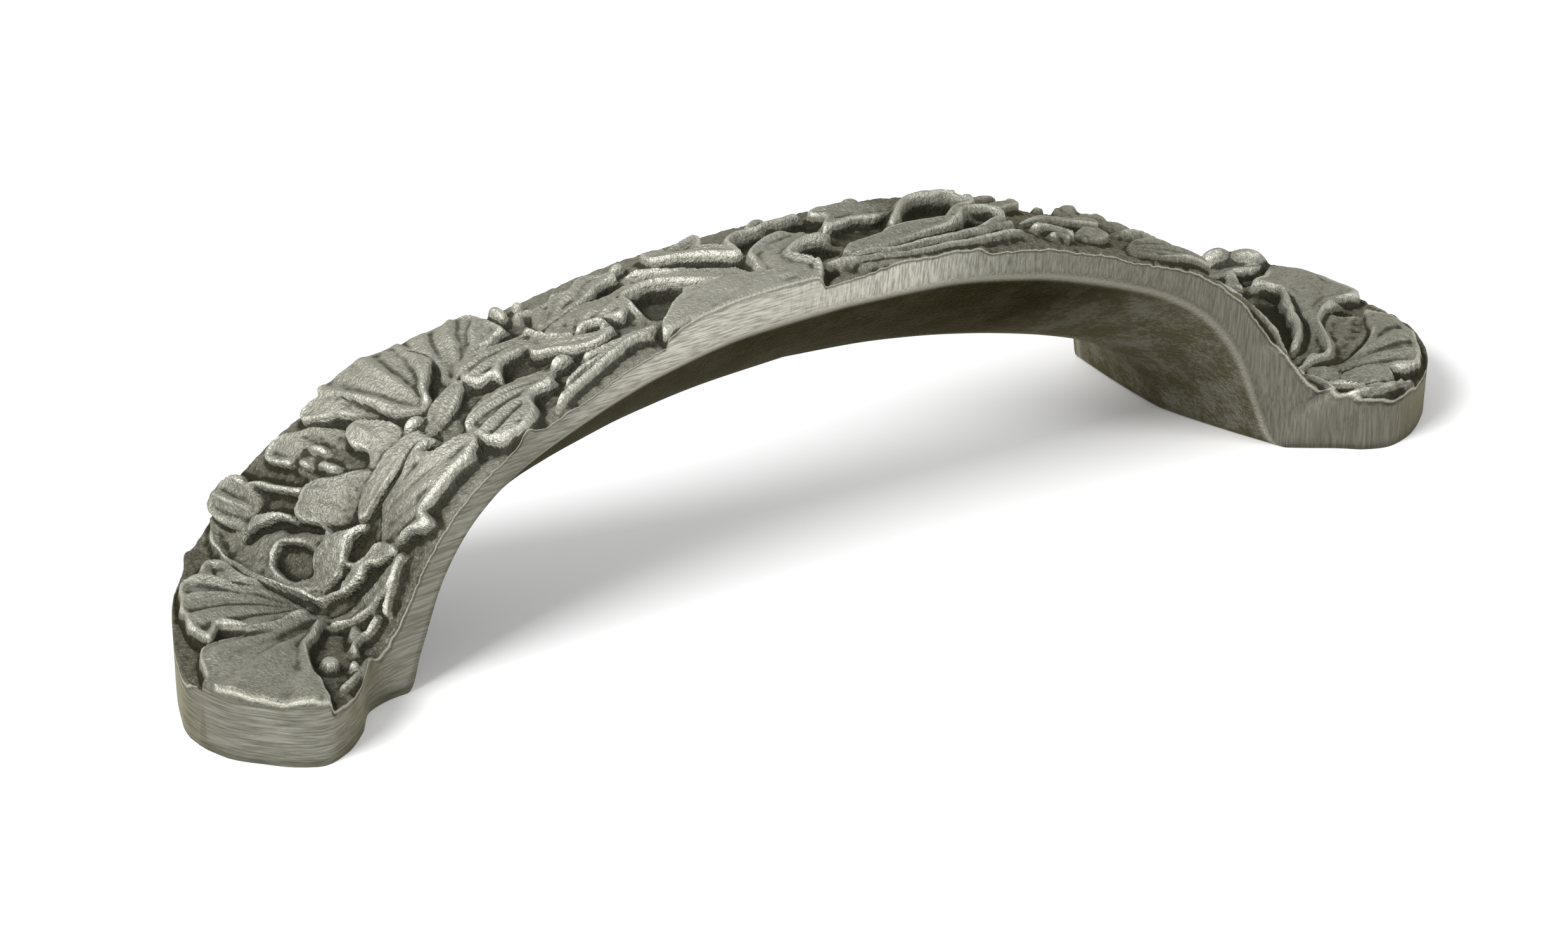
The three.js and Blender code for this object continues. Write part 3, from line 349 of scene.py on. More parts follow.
def bud(s0, y0, long, wide, angle, height):
    """Half an ellipsoid, turned by the angle in degrees, where it stands above the ground."""
    c, n = math.cos(math.radians(angle)), math.sin(math.radians(angle))

    def carve(s, y, ground):
        patch = Patch(s, y, [(s0, y0)], max(long, wide))
        a = ((patch.s - s0) * c + (patch.y - y0) * n) / long
        b = ((patch.y - y0) * c - (patch.s - s0) * n) / wide
        dome = height * np.sqrt(np.clip(1 - a * a - b * b, 0, 1))
        ground[patch.where] = np.maximum(ground[patch.where], dome)

    return carve


# The carving in the order it is laid down: each motif covers or tops the ones before it.
# Places are given in millimetres along the bow from its middle, and across it.
MOTIFS = [
    # Left foot: rough ground, a big cupped leaf with an eyelet, and two fan leaves.
    leaf([[-40.9, 12.2], [-42.6, 9.2], [-43.6, 6], [-43.5, 3.4], [-42.6, 1.2], [-41.6, -0.8],
      [-39.6, -1.5], [-38.2, -0.4], [-37.9, 2], [-38.5, 4.6], [-39.8, 7], [-41, 9.6]],
      0.8, -0.15, 0.35),
    ridge([[-41.2, 12], [-42.5, 9.3], [-43.4, 6.2], [-43.3, 3.4], [-42.4, 0.9], [-42.1, -1],
      [-41.6, -2.4]], 0.3, 1.25),
    pit([[-40.6, 7.9], [-39.4, 6.2], [-38.4, 4], [-38, 1.6], [-38.3, 0.8], [-39, 3.6], [-40, 6],
      [-41.3, 7.6]], 0.1),
    pit([[-42, 2.3], [-41.6, 0.8], [-40.7, 0.4], [-39.5, 1.2], [-39.4, 2.8], [-40, 4.2],
      [-40.9, 4.6], [-41.7, 3.9]], 0.35),
    ridge([[-40.9, 0.3], [-41.8, 0.9], [-42.1, 2.4], [-41.6, 4.1], [-40.8, 4.7], [-39.9, 4.3],
      [-39.3, 2.9], [-39.1, 1.2]], 0.16, 1.0),
    leaf([[-41.9, 0.3], [-40.9, 0.3], [-40.2, 0.9], [-39.4, 1], [-38.3, 0.2], [-37.1, -1.2],
      [-36.6, -1.9], [-38.6, -2], [-40.4, -2], [-41.4, -1.1]], 1, 0.15, 0.15),
    leaf([[-42.1, -0.3], [-41.9, -1.8], [-41, -3.1], [-39.8, -4], [-38.7, -4.3], [-38.4, -5],
      [-37.2, -5.8], [-36.8, -4.6], [-37.3, -3.8], [-38.8, -3.2], [-40.4, -2.4], [-41.4, -1.2]],
      0.9, 0, 0.3),
    pit([[-41.6, -1.2], [-41.1, -2.3], [-40.3, -2.5], [-40.4, -1.9]], 0),
    pit([[-39.2, -2.2], [-38.4, -1.7], [-37.2, -1.8], [-36.8, -2.6], [-37.5, -3.5],
      [-38.5, -3.5]], 0.15),
    ridge([[-39.4, -2], [-39.1, -3], [-38.2, -3.8], [-37.3, -3.7]], 0.17, 1.05),
    leaf([[-43.5, -3.2], [-41.8, -4], [-39.8, -5.2], [-38, -5.7], [-37, -6.2], [-39.4, -6.3],
      [-41.4, -5.8], [-42.6, -4.8]], 0.55, 0, 0.2),
    ridge([[-44.1, -4.2], [-42.9, -4.6], [-42, -5.4], [-40.8, -6.1], [-39.3, -6.4],
      [-36.9, -6.3]], 0.16, 0.95),
    ridge([[-41.1, -7.4], [-39.9, -7], [-38.7, -6.6], [-36.9, -6.3]], 0.18, 0.9),
    ridge([[-45, -9], [-44.4, -8], [-43.5, -7.2], [-42.2, -6.9], [-40.9, -6.5]], 0.18, 0.95),
    bud(-43.2, -6.4, 1.3, 0.5, 55, 1),
    leaf([[-42.8, -3.2], [-44.4, -4.1], [-46.5, -6], [-48.2, -8.2], [-49.1, -10.6],
      [-50.2, -14.2], [-52.6, -14.6], [-55.6, -12], [-56, -8.6], [-54.4, -6.9], [-53.2, -4.4],
      [-51.3, -2.8], [-47, -2.2], [-44, -2]], 1, 0.35, 0.25, [-42.6, -2.6, 17, 0.2]),
    ridge([[-50.2, -13], [-49.4, -11.4], [-48.7, -9.6], [-47.8, -7.8], [-46.2, -5.7],
      [-44.6, -4.3], [-43.2, -3.5]], 0.22, 1.35),
    bud(-46.9, -8.9, 0.95, 0.6, 55, 1),
    bud(-46.1, -10.4, 0.45, 0.4, 0, 1.1),
    ridge([[-48.8, -12.5], [-47.2, -11.9], [-45.7, -10.9], [-44.7, -9.8], [-43.6, -9.2]],
      0.2, 0.8),
    leaf([[-43.6, -1.9], [-46, -2.7], [-47.6, -2.8], [-49.5, -1.1], [-51, -2.4], [-51.2, -0.6],
      [-50.2, 2], [-48.8, 4.8], [-47.7, 6], [-46.2, 6.4], [-45, 7.7], [-44.1, 7.3], [-44.2, 5],
      [-44, 2.6], [-43.2, 0.6]], 1.2, 0.1, 0.2, [-42.6, -0.9, 15, 0.28]),
    ridge([[-50, -0.9], [-49.2, -1.2], [-48.2, -2.4], [-47, -2.9], [-45.4, -2.7], [-43.7, -2.1]],
      0.3, 1.5),
    ridge([[-43.9, 2.5], [-44.5, 4.2], [-44.4, 6.4], [-44.7, 7.5], [-46.2, 6.5]], 0.28, 1.5),
    pit([[-44.9, 4], [-45.4, 5], [-45, 6.6], [-45.5, 5.8], [-45.9, 4.6], [-45.3, 3.2],
      [-44.4, 2.7]], 0.6),
    # Left leg, far side: ribbed leaf and blades behind the flower.
    leaf([[-40.3, 7.9], [-40.9, 10], [-40.6, 12.1], [-39.4, 12.6], [-37.7, 11.6], [-37.9, 9.8],
      [-38.4, 8.1], [-39.2, 7.7]], 1.2, 0.1, 0.1, [-39.3, 3, 34, 0.22]),
    leaf([[-40.4, 8], [-39.5, 7.8], [-38.7, 6.4], [-38.2, 4.2], [-38.9, 5.2], [-39.7, 6.7]],
      1.35, 0, 0.1),
    ridge([[-38.2, 10], [-37.6, 8.8], [-37.3, 7.4], [-36.9, 5.9], [-36.5, 4.9]], 0.22, 1.15),
    # The flower: five petals round three seed heads.
    leaf([[-36, 9.2], [-35.2, 9.8], [-34.3, 9.4], [-33.4, 8], [-32.6, 6.6], [-32.1, 4.4],
      [-33.2, 3.6], [-34.6, 4.6], [-35.4, 6.6]], 0.85, 0, 0.3, [-33.6, 1, 26, 0.14]),
    leaf([[-33, 8], [-32.4, 8.8], [-31.3, 8.6], [-30.8, 7.4], [-30.4, 5.4], [-30.3, 3],
      [-31.1, 4.4], [-31.9, 6.2]], 1.15, 0.1, 0.2, [-31.4, 0, 26, 0.14]),
    leaf([[-35.7, 2.8], [-35.6, 6.8], [-34.8, 7], [-33.6, 5.8], [-33, 3], [-33.3, 0.6],
      [-34.4, 1.2]], 0.3, 0, 0),
    bud(-35, 5.9, 1.05, 0.32, 92, 0.95),
    bud(-34, 5.4, 1.25, 0.36, 94, 1.05),
    bud(-34.6, 3.6, 1.2, 0.36, 95, 1.15),
    leaf([[-38.1, 4], [-37.3, 4.4], [-36.3, 4.5], [-35.5, 3.7], [-34.8, 2.4], [-33.8, 0.8],
      [-33.6, -0.1], [-35.4, -0.5], [-37.2, -0.3], [-37.8, 1.2], [-38.2, 2.8]],
      1.25, 0.3, 0.15, [-35.4, -4, 40, 0.12]),
    leaf([[-33.5, 0], [-32.9, 1.5], [-33, 2.8], [-32.2, 4.1], [-31.4, 3.8], [-30.8, 2.6],
      [-30.3, 1.2], [-30.8, 0.1], [-32.2, -0.2]], 1.3, 0.35, 0.1, [-32, -3, 30, 0.1]),
    # Far side of the left half: two ruffled fans, berries and a ribbon.
    leaf([[-25.6, 0.9], [-26.2, 2], [-25.4, 3.4], [-25.5, 5.4], [-25.6, 7.8], [-24, 7.3],
      [-22.4, 7], [-20.9, 6.4], [-20.7, 4.6], [-20.6, 2.6], [-22, 2.4], [-23.6, 2]],
      1.2, 0.1, 0.15, [-27.4, -2.4, 30, 0.2]),
    leaf([[-28.4, 0], [-29.3, 1.1], [-30.1, 2.5], [-30.3, 4.6], [-30.6, 6.6], [-31.2, 8.4],
      [-30.2, 9.2], [-28.4, 8.8], [-26.6, 8.2], [-25.5, 7.4], [-25.7, 5.6], [-25.3, 4],
      [-26, 3.2], [-27.3, 1.9]], 1.45, 0.1, 0.15, [-28.5, -0.8, 16, 0.26]),
    ridge([[-28.4, 0.2], [-27.8, 1.3], [-27.2, 2.5], [-26.5, 3.4], [-25.8, 3.5]], 0.2, 1.5),
    ridge([[-25.6, 0.7], [-24.8, 1.7], [-23.8, 2.1], [-22.8, 2.6], [-22, 2.3], [-21, 2.8],
      [-20.4, 2.3]], 0.3, 1.2),
    ridge([[-19.8, 3], [-18.9, 3.4], [-18, 2.6], [-16.4, 2.2], [-14.6, 2.4], [-13.4, 2.8],
      [-12, 2.7]], 0.35, 0.9),
    leaf([[-19.2, 0.9], [-18.9, 2.2], [-18.1, 2.7], [-17.6, 2], [-16.6, 2.9], [-15.6, 2.3],
      [-14.5, 3], [-13.3, 2.6], [-12.5, 1.9], [-13.2, 1.1], [-14.8, 0.8], [-17, 0.4]],
      1.1, 0.1, 0.2, [-21, -0.6, 24, 0.2]),
    bud(-19.7, 4.7, 1.05, 0.5, 80, 1.5),
    bud(-18.5, 4, 0.6, 0.5, 30, 1.3),
    bud(-11.6, 3.1, 0.8, 0.45, 15, 1.1),
    # Near side of the left half: long leaves, hooks and buds.
    leaf([[-36.6, -1.2], [-35.6, -0.5], [-33.5, -0.2], [-31.4, -0.4], [-30.2, -1], [-29.5, -1.8],
      [-31.6, -2], [-34, -2.1], [-35.6, -1.8]], 1, 0.2, 0.2),
    leaf([[-30.2, -1.6], [-29, -0.4], [-27.5, 0.3], [-26, 0.6], [-25.8, -0.1], [-27.4, -1.4],
      [-29, -1.8]], 0.9, 0.1, 0.15, [-34, -4, 60, 0.14]),
    bud(-30, -0.2, 0.85, 0.5, -10, 1.45),
    leaf([[-27.7, -3.3], [-27.3, -2.3], [-25.6, -2], [-23.8, -2.4], [-21.8, -3.4], [-24.6, -3.5]],
      0.55, 0, 0.15),
    leaf([[-25.7, 0.2], [-25.1, 1.2], [-23.7, 1.9], [-22, 1.4], [-20.2, 1.1], [-19.7, 0.4],
      [-20.6, -0.4], [-22.8, -0.5], [-23.5, -1.1], [-24.1, -1.8], [-24.7, -1.3], [-25.5, -1]],
      1.2, 0.1, 0.2, [-19, 0.4, 30, 0.16]),
    pit([[-24, -2.1], [-23.6, -1.2], [-22.5, -0.7], [-21.7, -0.8], [-21, -1.8], [-21.2, -2.8],
      [-22.6, -2.6]], 0.1),
    leaf([[-37, -4], [-36.2, -3.2], [-34.9, -2.5], [-33.4, -2.5], [-31.9, -2.1], [-30.6, -2.6],
      [-31, -3.8], [-29.1, -4.6], [-29, -5.9], [-31, -6.2], [-33.2, -6], [-34.2, -6],
      [-34.4, -6.8], [-34.9, -7.2], [-35.5, -6.9], [-35.9, -6], [-36.8, -5.4]],
      1.15, 0.15, 0.3, [-40, -1, 36, 0.12]),
    ridge([[-36.8, -5.2], [-35.8, -6], [-35.2, -7], [-34.7, -7.1], [-34.2, -6.1], [-32.4, -6.2],
      [-30.6, -6.3], [-29.1, -5.9]], 0.22, 1.35),
    pit([[-31.2, -2.9], [-30.2, -2.7], [-29.2, -3], [-29.2, -4.2], [-30.6, -3.9]], 0.15),
    ridge([[-29.9, -2.5], [-30.9, -2.4], [-31.6, -3], [-31.3, -3.9], [-30.2, -4.3],
      [-29.1, -4.6]], 0.26, 1.5),
    leaf([[-28.9, -4.8], [-28.4, -3.8], [-27.2, -3.4], [-25, -3.2], [-22.6, -3.3], [-21.6, -4.2],
      [-23, -4.8], [-24.2, -4.8], [-24.9, -5.6], [-25.5, -6.8], [-26.4, -7.6], [-27.6, -7.7],
      [-28.5, -6.9]], 1.3, 0.1, 0.25, [-20.4, -4.2, 34, 0.2]),
    ridge([[-26.4, -7.5], [-25.3, -6.6], [-24.7, -5.4], [-23.8, -4.9], [-22.9, -5.1],
      [-22.2, -4.7]], 0.22, 1.4),
    leaf([[-21.2, -1], [-20.2, 0.2], [-19.8, -1], [-19.1, -2.3], [-17.9, -3.4], [-16.8, -4.1],
      [-18.4, -4.5], [-19.8, -3.6], [-20.7, -2.3]], 1, 0, 0.25),
    ridge([[-20.1, 1.2], [-19.9, 0], [-19.4, -1.4], [-18.6, -2.6]], 0.16, 1.25),
    bud(-20.9, -3.9, 0.95, 0.42, -4, 1.4),
    leaf([[-19.2, 0.2], [-17, 0.3], [-15.3, 0.2], [-14.4, -0.6], [-14.7, -2.4], [-15.5, -3.3],
      [-16.5, -2.5], [-18.2, -2], [-18.8, -1]], 1, 0.1, 0.2, [-22, -3, 40, 0.12]),
    ridge([[-18.6, -2.2], [-17.6, -2.1], [-16.9, -2.6], [-16.9, -3.2], [-17.6, -3.3]], 0.2, 1.25),
    ridge([[-20, -4.6], [-18.4, -5.2], [-16.4, -5.6], [-14.6, -6]], 0.2, 1.1),
    ridge([[-24.2, -7.1], [-22, -6.7], [-19.6, -6.3], [-17.4, -5.9], [-15, -6.1]], 0.2, 1.15),
    ridge([[-22.4, -6], [-20.6, -5.5], [-18.6, -5.6], [-16.6, -5.7]], 0.16, 0.95),
    # Middle: a long flowing blade, dark hollows and ribbons.
    leaf([[-18.6, 0.2], [-16, 0.2], [-13, 0.1], [-11, -0.4], [-9.4, -1.2], [-8, -2.3],
      [-6.2, -3.4], [-6.3, -4.2], [-8, -4], [-9.6, -2.8], [-11.2, -1.2], [-13.5, -0.8],
      [-16, -1.2]], 0.95, 0.1, 0.1),
    pit([[-14.2, -2.2], [-13.6, -1.3], [-12.3, -1.1], [-11.1, -1.5], [-10, -2.5], [-9.4, -3.2],
      [-10.8, -3.3], [-11.8, -4.3], [-13.8, -4.5], [-14.3, -3.4]], -0.2),
    ridge([[-14.4, -4.2], [-14.5, -2.5], [-14, -1.3], [-12.9, -0.9], [-11.6, -1], [-10.3, -2],
      [-9, -3.2], [-7.8, -3.9], [-6.4, -4.2]], 0.28, 1.3),
    pit([[-15, 0.3], [-14.3, 1.1], [-13, 1.5], [-11.6, 0.9], [-10.3, 0], [-11.4, -0.1],
      [-13, 0.5]], 0.1),
    pit([[-11.9, 2.2], [-10, 2.5], [-8.8, 2], [-7.5, 0.7], [-6.5, -0.5], [-5.8, -1.4], [-6.4, -2],
      [-8, -1], [-9.3, 0.3], [-10.5, 1.4]], 0.1),
    ridge([[-12.6, 1.9], [-10.9, 0.7], [-9.8, -0.5], [-8.5, -1.6], [-7, -2.7], [-5.8, -3.4]],
      0.22, 1.2),
    leaf([[-9.3, 3.5], [-7.9, 3], [-6.4, 1.7], [-5.1, 0.3], [-4.7, -1.3], [-5.6, -1.1],
      [-6.7, 0.1], [-8, 1.2], [-9.4, 2.3]], 1.3, -0.2, 0.25),
    leaf([[-7.9, 2.6], [-6.4, 3.5], [-5, 4], [-4.8, 3.3], [-5.6, 2.1], [-6.3, 1.5]],
      0.9, -0.3, 0.35),
    leaf([[-4.9, -2.1], [-3.6, -1.1], [-2, -0.4], [0.2, 0.2], [1.4, -0.6], [1.8, -1.8],
      [-0.2, -2.1], [-1.8, -2.6], [-2.6, -3.4], [-2.5, -4.3], [-2, -5.2], [-2.4, -6.6],
      [-4.4, -7], [-9, -7.2], [-14.6, -7.2], [-14.8, -6.4], [-12.8, -4.7], [-11.6, -4.3],
      [-10.8, -3.4], [-9, -3.9], [-6.2, -4.3], [-5.3, -3.4]], 1.25, 0.15, 0.25),
    ridge([[-5.8, -4.4], [-5.3, -3.2], [-4.7, -2], [-3.6, -1.1], [-2, -0.4], [0.4, 0.2]],
      0.25, 1.55),
    ridge([[1.9, -2], [0.2, -2], [-1.6, -2.4], [-2.6, -3.3], [-2.5, -4.3], [-1.9, -5.2],
      [-2.3, -6.5]], 0.3, 1.65),
    ridge([[-14.6, -6], [-12, -5.6], [-9, -5.4], [-6, -5.6], [-3.4, -5.9]], 0.28, 1.5),
    ridge([[-12.6, -4.7], [-10.4, -4.5], [-8, -4.7], [-5.6, -4.9], [-3.4, -4.6]], 0.25, 1.55),
    pit([[-1.7, -3.4], [-1.4, -2.6], [-0.5, -2.3], [0.9, -2.3], [1.9, -2.7], [0.9, -3.4],
      [-0.6, -3.7]], -0.2),
    pit([[-2, -4.8], [-1.2, -4.7], [-0.4, -5.3], [-0.8, -6.1], [-2.3, -6.7], [-1.7, -5.6]], -0.1),
    pit([[-3.8, 1.5], [-3.6, 0.2], [-2, 0.1], [0.3, 0.5], [2, 0.3], [3.2, 1.6], [3, 2.4],
      [1.2, 2.5], [-1.4, 2.1]], -0.1),
    ridge([[-4.3, -0.9], [-4.3, 0.6], [-3.9, 1.8], [-2.2, 2.3], [0, 2.5], [2, 2.8], [3.4, 2.9]],
      0.3, 1.1),
    bud(-0.6, 3.1, 1.2, 0.35, 8, 1.2),
    pit([[0.9, -0.3], [2.4, -0.7], [5, -0.4], [7.8, 0], [6.9, -1.3], [6.3, -2.4], [4, -2.8],
      [2.3, -2.4], [1.7, -1.3]], 0.15),
    leaf([[2.2, -0.5], [3.2, 0.5], [3.6, 1.6], [3.5, 2.7], [6.2, 3.4], [9.6, 2.9], [10.6, 2],
      [9.3, 0.9], [7.6, -0.1], [4.8, -0.1]], 1, 0.15, 0.2, [14, 0.6, 44, 0.2]),
    ridge([[2.2, -0.5], [3.1, 0.4], [4, 1], [4.8, 1.9], [4, 2.8]], 0.3, 1.35),
    bud(6.9, 2.9, 0.95, 0.4, 0, 1.4),
    # Right half: two hollows with looped rims.
    pit([[7.4, -2.1], [8.3, -0.9], [9.4, 0.4], [10.6, 1.5], [12.4, 2.1], [14.3, 1.9], [14.7, 1.1],
      [13.8, 0], [12, -0.8], [10.6, -1.9], [9, -2.4]], -0.35),
    ridge([[6.7, -2.8], [7, -1.6], [8.2, -0.6], [9.3, 0.6], [10.5, 1.8], [12.4, 2.5], [14.8, 2.3],
      [15.5, 1.3], [14.8, 0.2], [12.9, -0.8], [11.2, -1.9], [9.2, -2.7]], 0.28, 1.35),
    leaf([[0.8, -4.2], [1.6, -3.4], [3, -3.2], [4.6, -3.1], [5.4, -2.8], [7, -2.7], [9, -2.6],
      [10.6, -2.6], [10.8, -3.4], [9.6, -4.2], [8, -4.6], [5.6, -4.8], [2.4, -4.7]],
      1.15, 0.3, 0.15),
    pit([[9.9, -4.5], [11, -3.4], [12.3, -2.3], [13.5, -1.9], [14, -2.5], [13.2, -3.7],
      [11.8, -4.5], [10.7, -4.8]], -0.25),
    ridge([[9.6, -4.9], [11.8, -4.8], [13.8, -4], [15.2, -2.8], [15.3, -1.6], [14.2, -1.1],
      [12.6, -1.6], [11.1, -2.9], [9.5, -4.2]], 0.28, 1.4),
    ridge([[0, -4.6], [2, -5.2], [5, -5.4], [8, -5.2], [11, -5.1], [14, -4.6], [15.6, -3.8]],
      0.3, 1.1),
    ridge([[-1.6, -4.4], [0.6, -5.5], [3, -6.1], [6, -6.4], [10, -6.2], [13, -5.8], [16.2, -5.4]],
      0.24, 1),
    ridge([[0.4, -6.1], [3, -6.7], [7, -7], [11, -6.9]], 0.18, 0.7),
    leaf([[14.6, -0.9], [15.6, 0.6], [17.2, 1], [19.4, 2.2], [21.4, 3.8], [20.8, 2], [18.6, 0.4],
      [16.6, -0.6]], 0.85, 0.1, 0.15),
    leaf([[15.6, 1.6], [17.2, 2.2], [19.2, 3.4], [21.2, 4.6], [19.6, 4.4], [17, 3], [15.2, 2.6]],
      0.7, 0.1, 0.1),
    leaf([[16.2, -3.4], [17.6, -2.4], [19.6, -1.5], [22.6, -1], [25.4, 0.6], [26.2, 0],
      [24.4, -1.6], [21.8, -2.2], [19.2, -2.4]], 0.85, 0.1, 0.15),
    leaf([[19.7, -5], [20.6, -4], [22, -3.2], [23, -3.3], [23.2, -4.4], [22, -5.6], [20.6, -5.7]],
      0.8, 0.3, 0.1),
    ridge([[16, -4.8], [17.2, -4.8], [18.3, -5.3], [18.8, -6]], 0.3, 1.1),
    ridge([[16.6, -6.1], [17.6, -5.7], [18.2, -6.4]], 0.25, 0.8),
    # Right leg, on the side away from the photograph: the same leaves, berries and ribbons.
    leaf([[23.6, -6.6], [25, -4.6], [27, -3.4], [29.6, -3], [31.6, -3.6], [32.2, -5],
      [30.8, -6.2], [28.4, -7], [25.8, -7.3]], 0.9, 0.1, 0.25, [22, -5.4, 22, 0.2]),
    leaf([[25, 2.6], [26, 0.8], [28, 0], [30.6, 0.4], [32.4, 2], [33.2, 4.6], [32.4, 7],
      [30.4, 8], [28.2, 6.6], [26.4, 4.6]], 0.8, 0.1, 0.15, [25, 0.6, 18, 0.2]),
    leaf([[33.6, 10.4], [34, 8], [35.4, 6.4], [37.6, 6], [39.6, 7.2], [40.8, 9.4], [40.4, 11.8],
      [38.4, 12.4], [35.8, 11.8]], 1.15, 0.15, 0.2, [34.6, 6, 16, 0.24]),
    ridge([[26, -1.4], [28, -1.9], [30.6, -1.6], [33, -0.8], [35.2, 0.8], [36.6, 3], [37, 5.2]],
      0.32, 1.15),
    ridge([[31.8, -3.2], [33.6, -2.4], [36, -2], [38.4, -0.8], [40.2, 1.2], [41.4, 3.8]],
      0.3, 1.1),
    leaf([[33.8, -6.8], [34.8, -4.9], [36.6, -4.2], [38.8, -4.6], [40.4, -5.8], [40.6, -7.2],
      [38.4, -7.6], [35.8, -7.6]], 1.1, 0.15, 0.25, [33, -6, 24, 0.2]),
    leaf([[36.4, -3], [38, -3.4], [40.2, -3], [42.2, -1.2], [43.4, 1.4], [43.6, 4], [42.6, 2.6],
      [41, 0.4], [38.8, -1.6]], 1, 0.1, 0.2),
    leaf([[38.2, 1.8], [39.4, 2.8], [41, 4.6], [42.2, 7], [42.6, 9.6], [41.4, 8.8], [40, 6.6],
      [38.6, 4.4]], 1.05, 0.1, 0.2),
    bud(34.8, 3.4, 0.9, 0.5, 60, 1.3),
    bud(33.4, 1.4, 0.75, 0.5, 20, 1.2),
    bud(42.4, 11.6, 0.8, 0.5, 40, 1.3),
    bud(30.2, -0.6, 0.8, 0.4, -10, 1.2),
    bud(24.2, 3.9, 0.8, 0.45, 35, 0.6),
    # Right foot: two looped rims, deep hollows, fan leaves and berries.
    ridge([[42.4, -7.9], [43.2, -6.7], [44.6, -6.3], [46.2, -5.9]], 0.25, 1.1),
    ridge([[44, -4.2], [45.6, -1.8], [47.2, 0.8], [48.6, 3.2], [49.6, 5.8], [50.2, 8.6],
      [50.5, 11.2]], 0.24, 1.05),
    ridge([[47.4, 3], [48.2, 5.4], [48.8, 8], [49, 10.6], [49.6, 12.8]], 0.26, 0.9),
    ridge([[45.4, 3], [46.4, 5.6], [47, 8.2], [47.2, 10.8]], 0.3, 0.8),
    pit([[49.6, 6], [50.6, 6.3], [51.5, 5.2], [51.1, 3.6], [50, 1.8], [48.6, -0.2], [46.8, -2.3],
      [45.4, -3.7], [44.9, -3.3], [46.2, -1.2], [47.6, 1.4], [48.8, 3.8]], -0.35),
    leaf([[52.1, 7.8], [54, 8.7], [55.8, 9.6], [56.6, 7.6], [56.7, 4.6], [56.5, 1.6], [55.2, 1.6],
      [53.4, 1.6], [51.6, 0.5], [50.2, -0.8], [49, -2.8], [47.8, -4.6], [45.6, -5.7],
      [44.2, -5.2], [46, -4.1], [47.8, -2.9], [49.6, -0.7], [51.2, 1.8], [52.6, 4.8], [52, 6.4]],
      1.15, 0.25, 0.15, [44, -6.5, 26, 0.16]),
    ridge([[45.3, -3.7], [47, -2.6], [48.8, -0.5], [50.6, 2], [51.9, 4.1], [52.7, 5.6],
      [52.1, 6.8], [51.4, 8.2]], 0.3, 1.55),
    leaf([[50.5, 8.5], [51.2, 9.6], [52, 11.2], [52.9, 12.2], [52.7, 10.6], [51.8, 8.9],
      [51.1, 7.6]], 1.25, 0.15, 0.1),
    pit([[52, 8.4], [52.9, 10.2], [53.8, 11], [55, 9.9], [54.6, 9.1], [53.2, 8.3]], -0.2),
    leaf([[48.6, -4.3], [50, -2], [51.6, -0.4], [53, 0.2], [54, -1.2], [53.2, -3], [51.4, -4.6],
      [49.4, -5.8], [47, -6.7], [45.8, -6.4], [47.4, -5.6]], 0.6, 0, 0.15),
    pit([[52.3, 0.3], [53.6, 1], [54.7, 1.1], [55, 0.2], [54.6, -0.8], [53.8, -0.9], [53, -0.2]],
      -0.1),
    ridge([[43.6, -6], [45.2, -6], [47.2, -5.4], [48.4, -4.2], [49.4, -2.4], [50.6, -0.7],
      [52.2, 0.6], [53.8, 1.4], [55.2, 1.2]], 0.26, 1.5),
    leaf([[54.6, -1.1], [55.4, -2.8], [54.8, -5.4], [53.4, -7.8], [51.6, -9.9], [49.6, -11],
      [48.7, -10.2], [48.3, -9.2], [46.6, -8.3], [44.8, -7.5], [44.8, -6.9], [47.2, -6.8],
      [49.8, -5.9], [52, -4.3], [53.6, -2.3]], 1.1, 0.25, 0.2, [43.4, -6.4, 22, 0.22]),
    leaf([[42.8, -8.4], [44.1, -6.8], [45.2, -7.2], [45.7, -8.2], [44.9, -9.3], [43.5, -9.7]],
      0.85, 0.3, 0.1),
    leaf([[44.9, -9.4], [46.3, -8.6], [47.9, -8.9], [48.5, -9.9], [47.4, -11.6], [45.9, -11.2]],
      0.95, 0.35, 0.15),
    leaf([[50.2, 10.4], [51, 11.6], [51.6, 13], [53, 13.6], [54.6, 12.6], [55.4, 10.6],
      [54.6, 9.6], [52.6, 10]], 1.2, 0, 0),
    bud(52.9, 12.4, 1.4, 1.1, 0, 2.6),
    bud(54.5, 11, 1.8, 1.1, -40, 2.55),
    pit([[43, -11.8], [43.6, -12.3], [44.3, -12.5], [44.2, -12.9], [43.1, -12.6]], 0),
    pit([[44.8, -12.7], [45.6, -12.9], [46.6, -12.8], [46.5, -13.2], [45.2, -13.2]], 0),
    ridge([[41.5, -7.7], [42.2, -9.2], [43, -9.9], [43.7, -9.9], [44.4, -10.5], [45, -11.5],
      [46.1, -12], [47, -12.2]], 0.2, 1.05),
    ridge([[41.6, -8], [42, -9.6], [42.7, -10.9], [43.6, -11.8], [44.4, -12.1], [45.6, -12.4],
      [47, -12.2], [48.1, -12.2], [49.4, -11.6]], 0.2, 1.05),
]


def grain(s, y, cell, seed):
    """Smooth random field: seeded numbers on a lattice of cells, blended by smooth steps."""
    table = np.random.default_rng(seed).uniform(-1, 1, (LATTICE, LATTICE))
    a, b = s / cell, y / cell
    i, j = np.floor(a).astype(int), np.floor(b).astype(int)
    u, v = smooth(0, 1, a - i), smooth(0, 1, b - j)

    def row(n):
        """The values on one line of the lattice, blended across it."""
        line = n % LATTICE
        return table[line, j % LATTICE] * (1 - v) + table[line, (j + 1) % LATTICE] * v

    return row(i) * (1 - u) + row(i + 1) * u


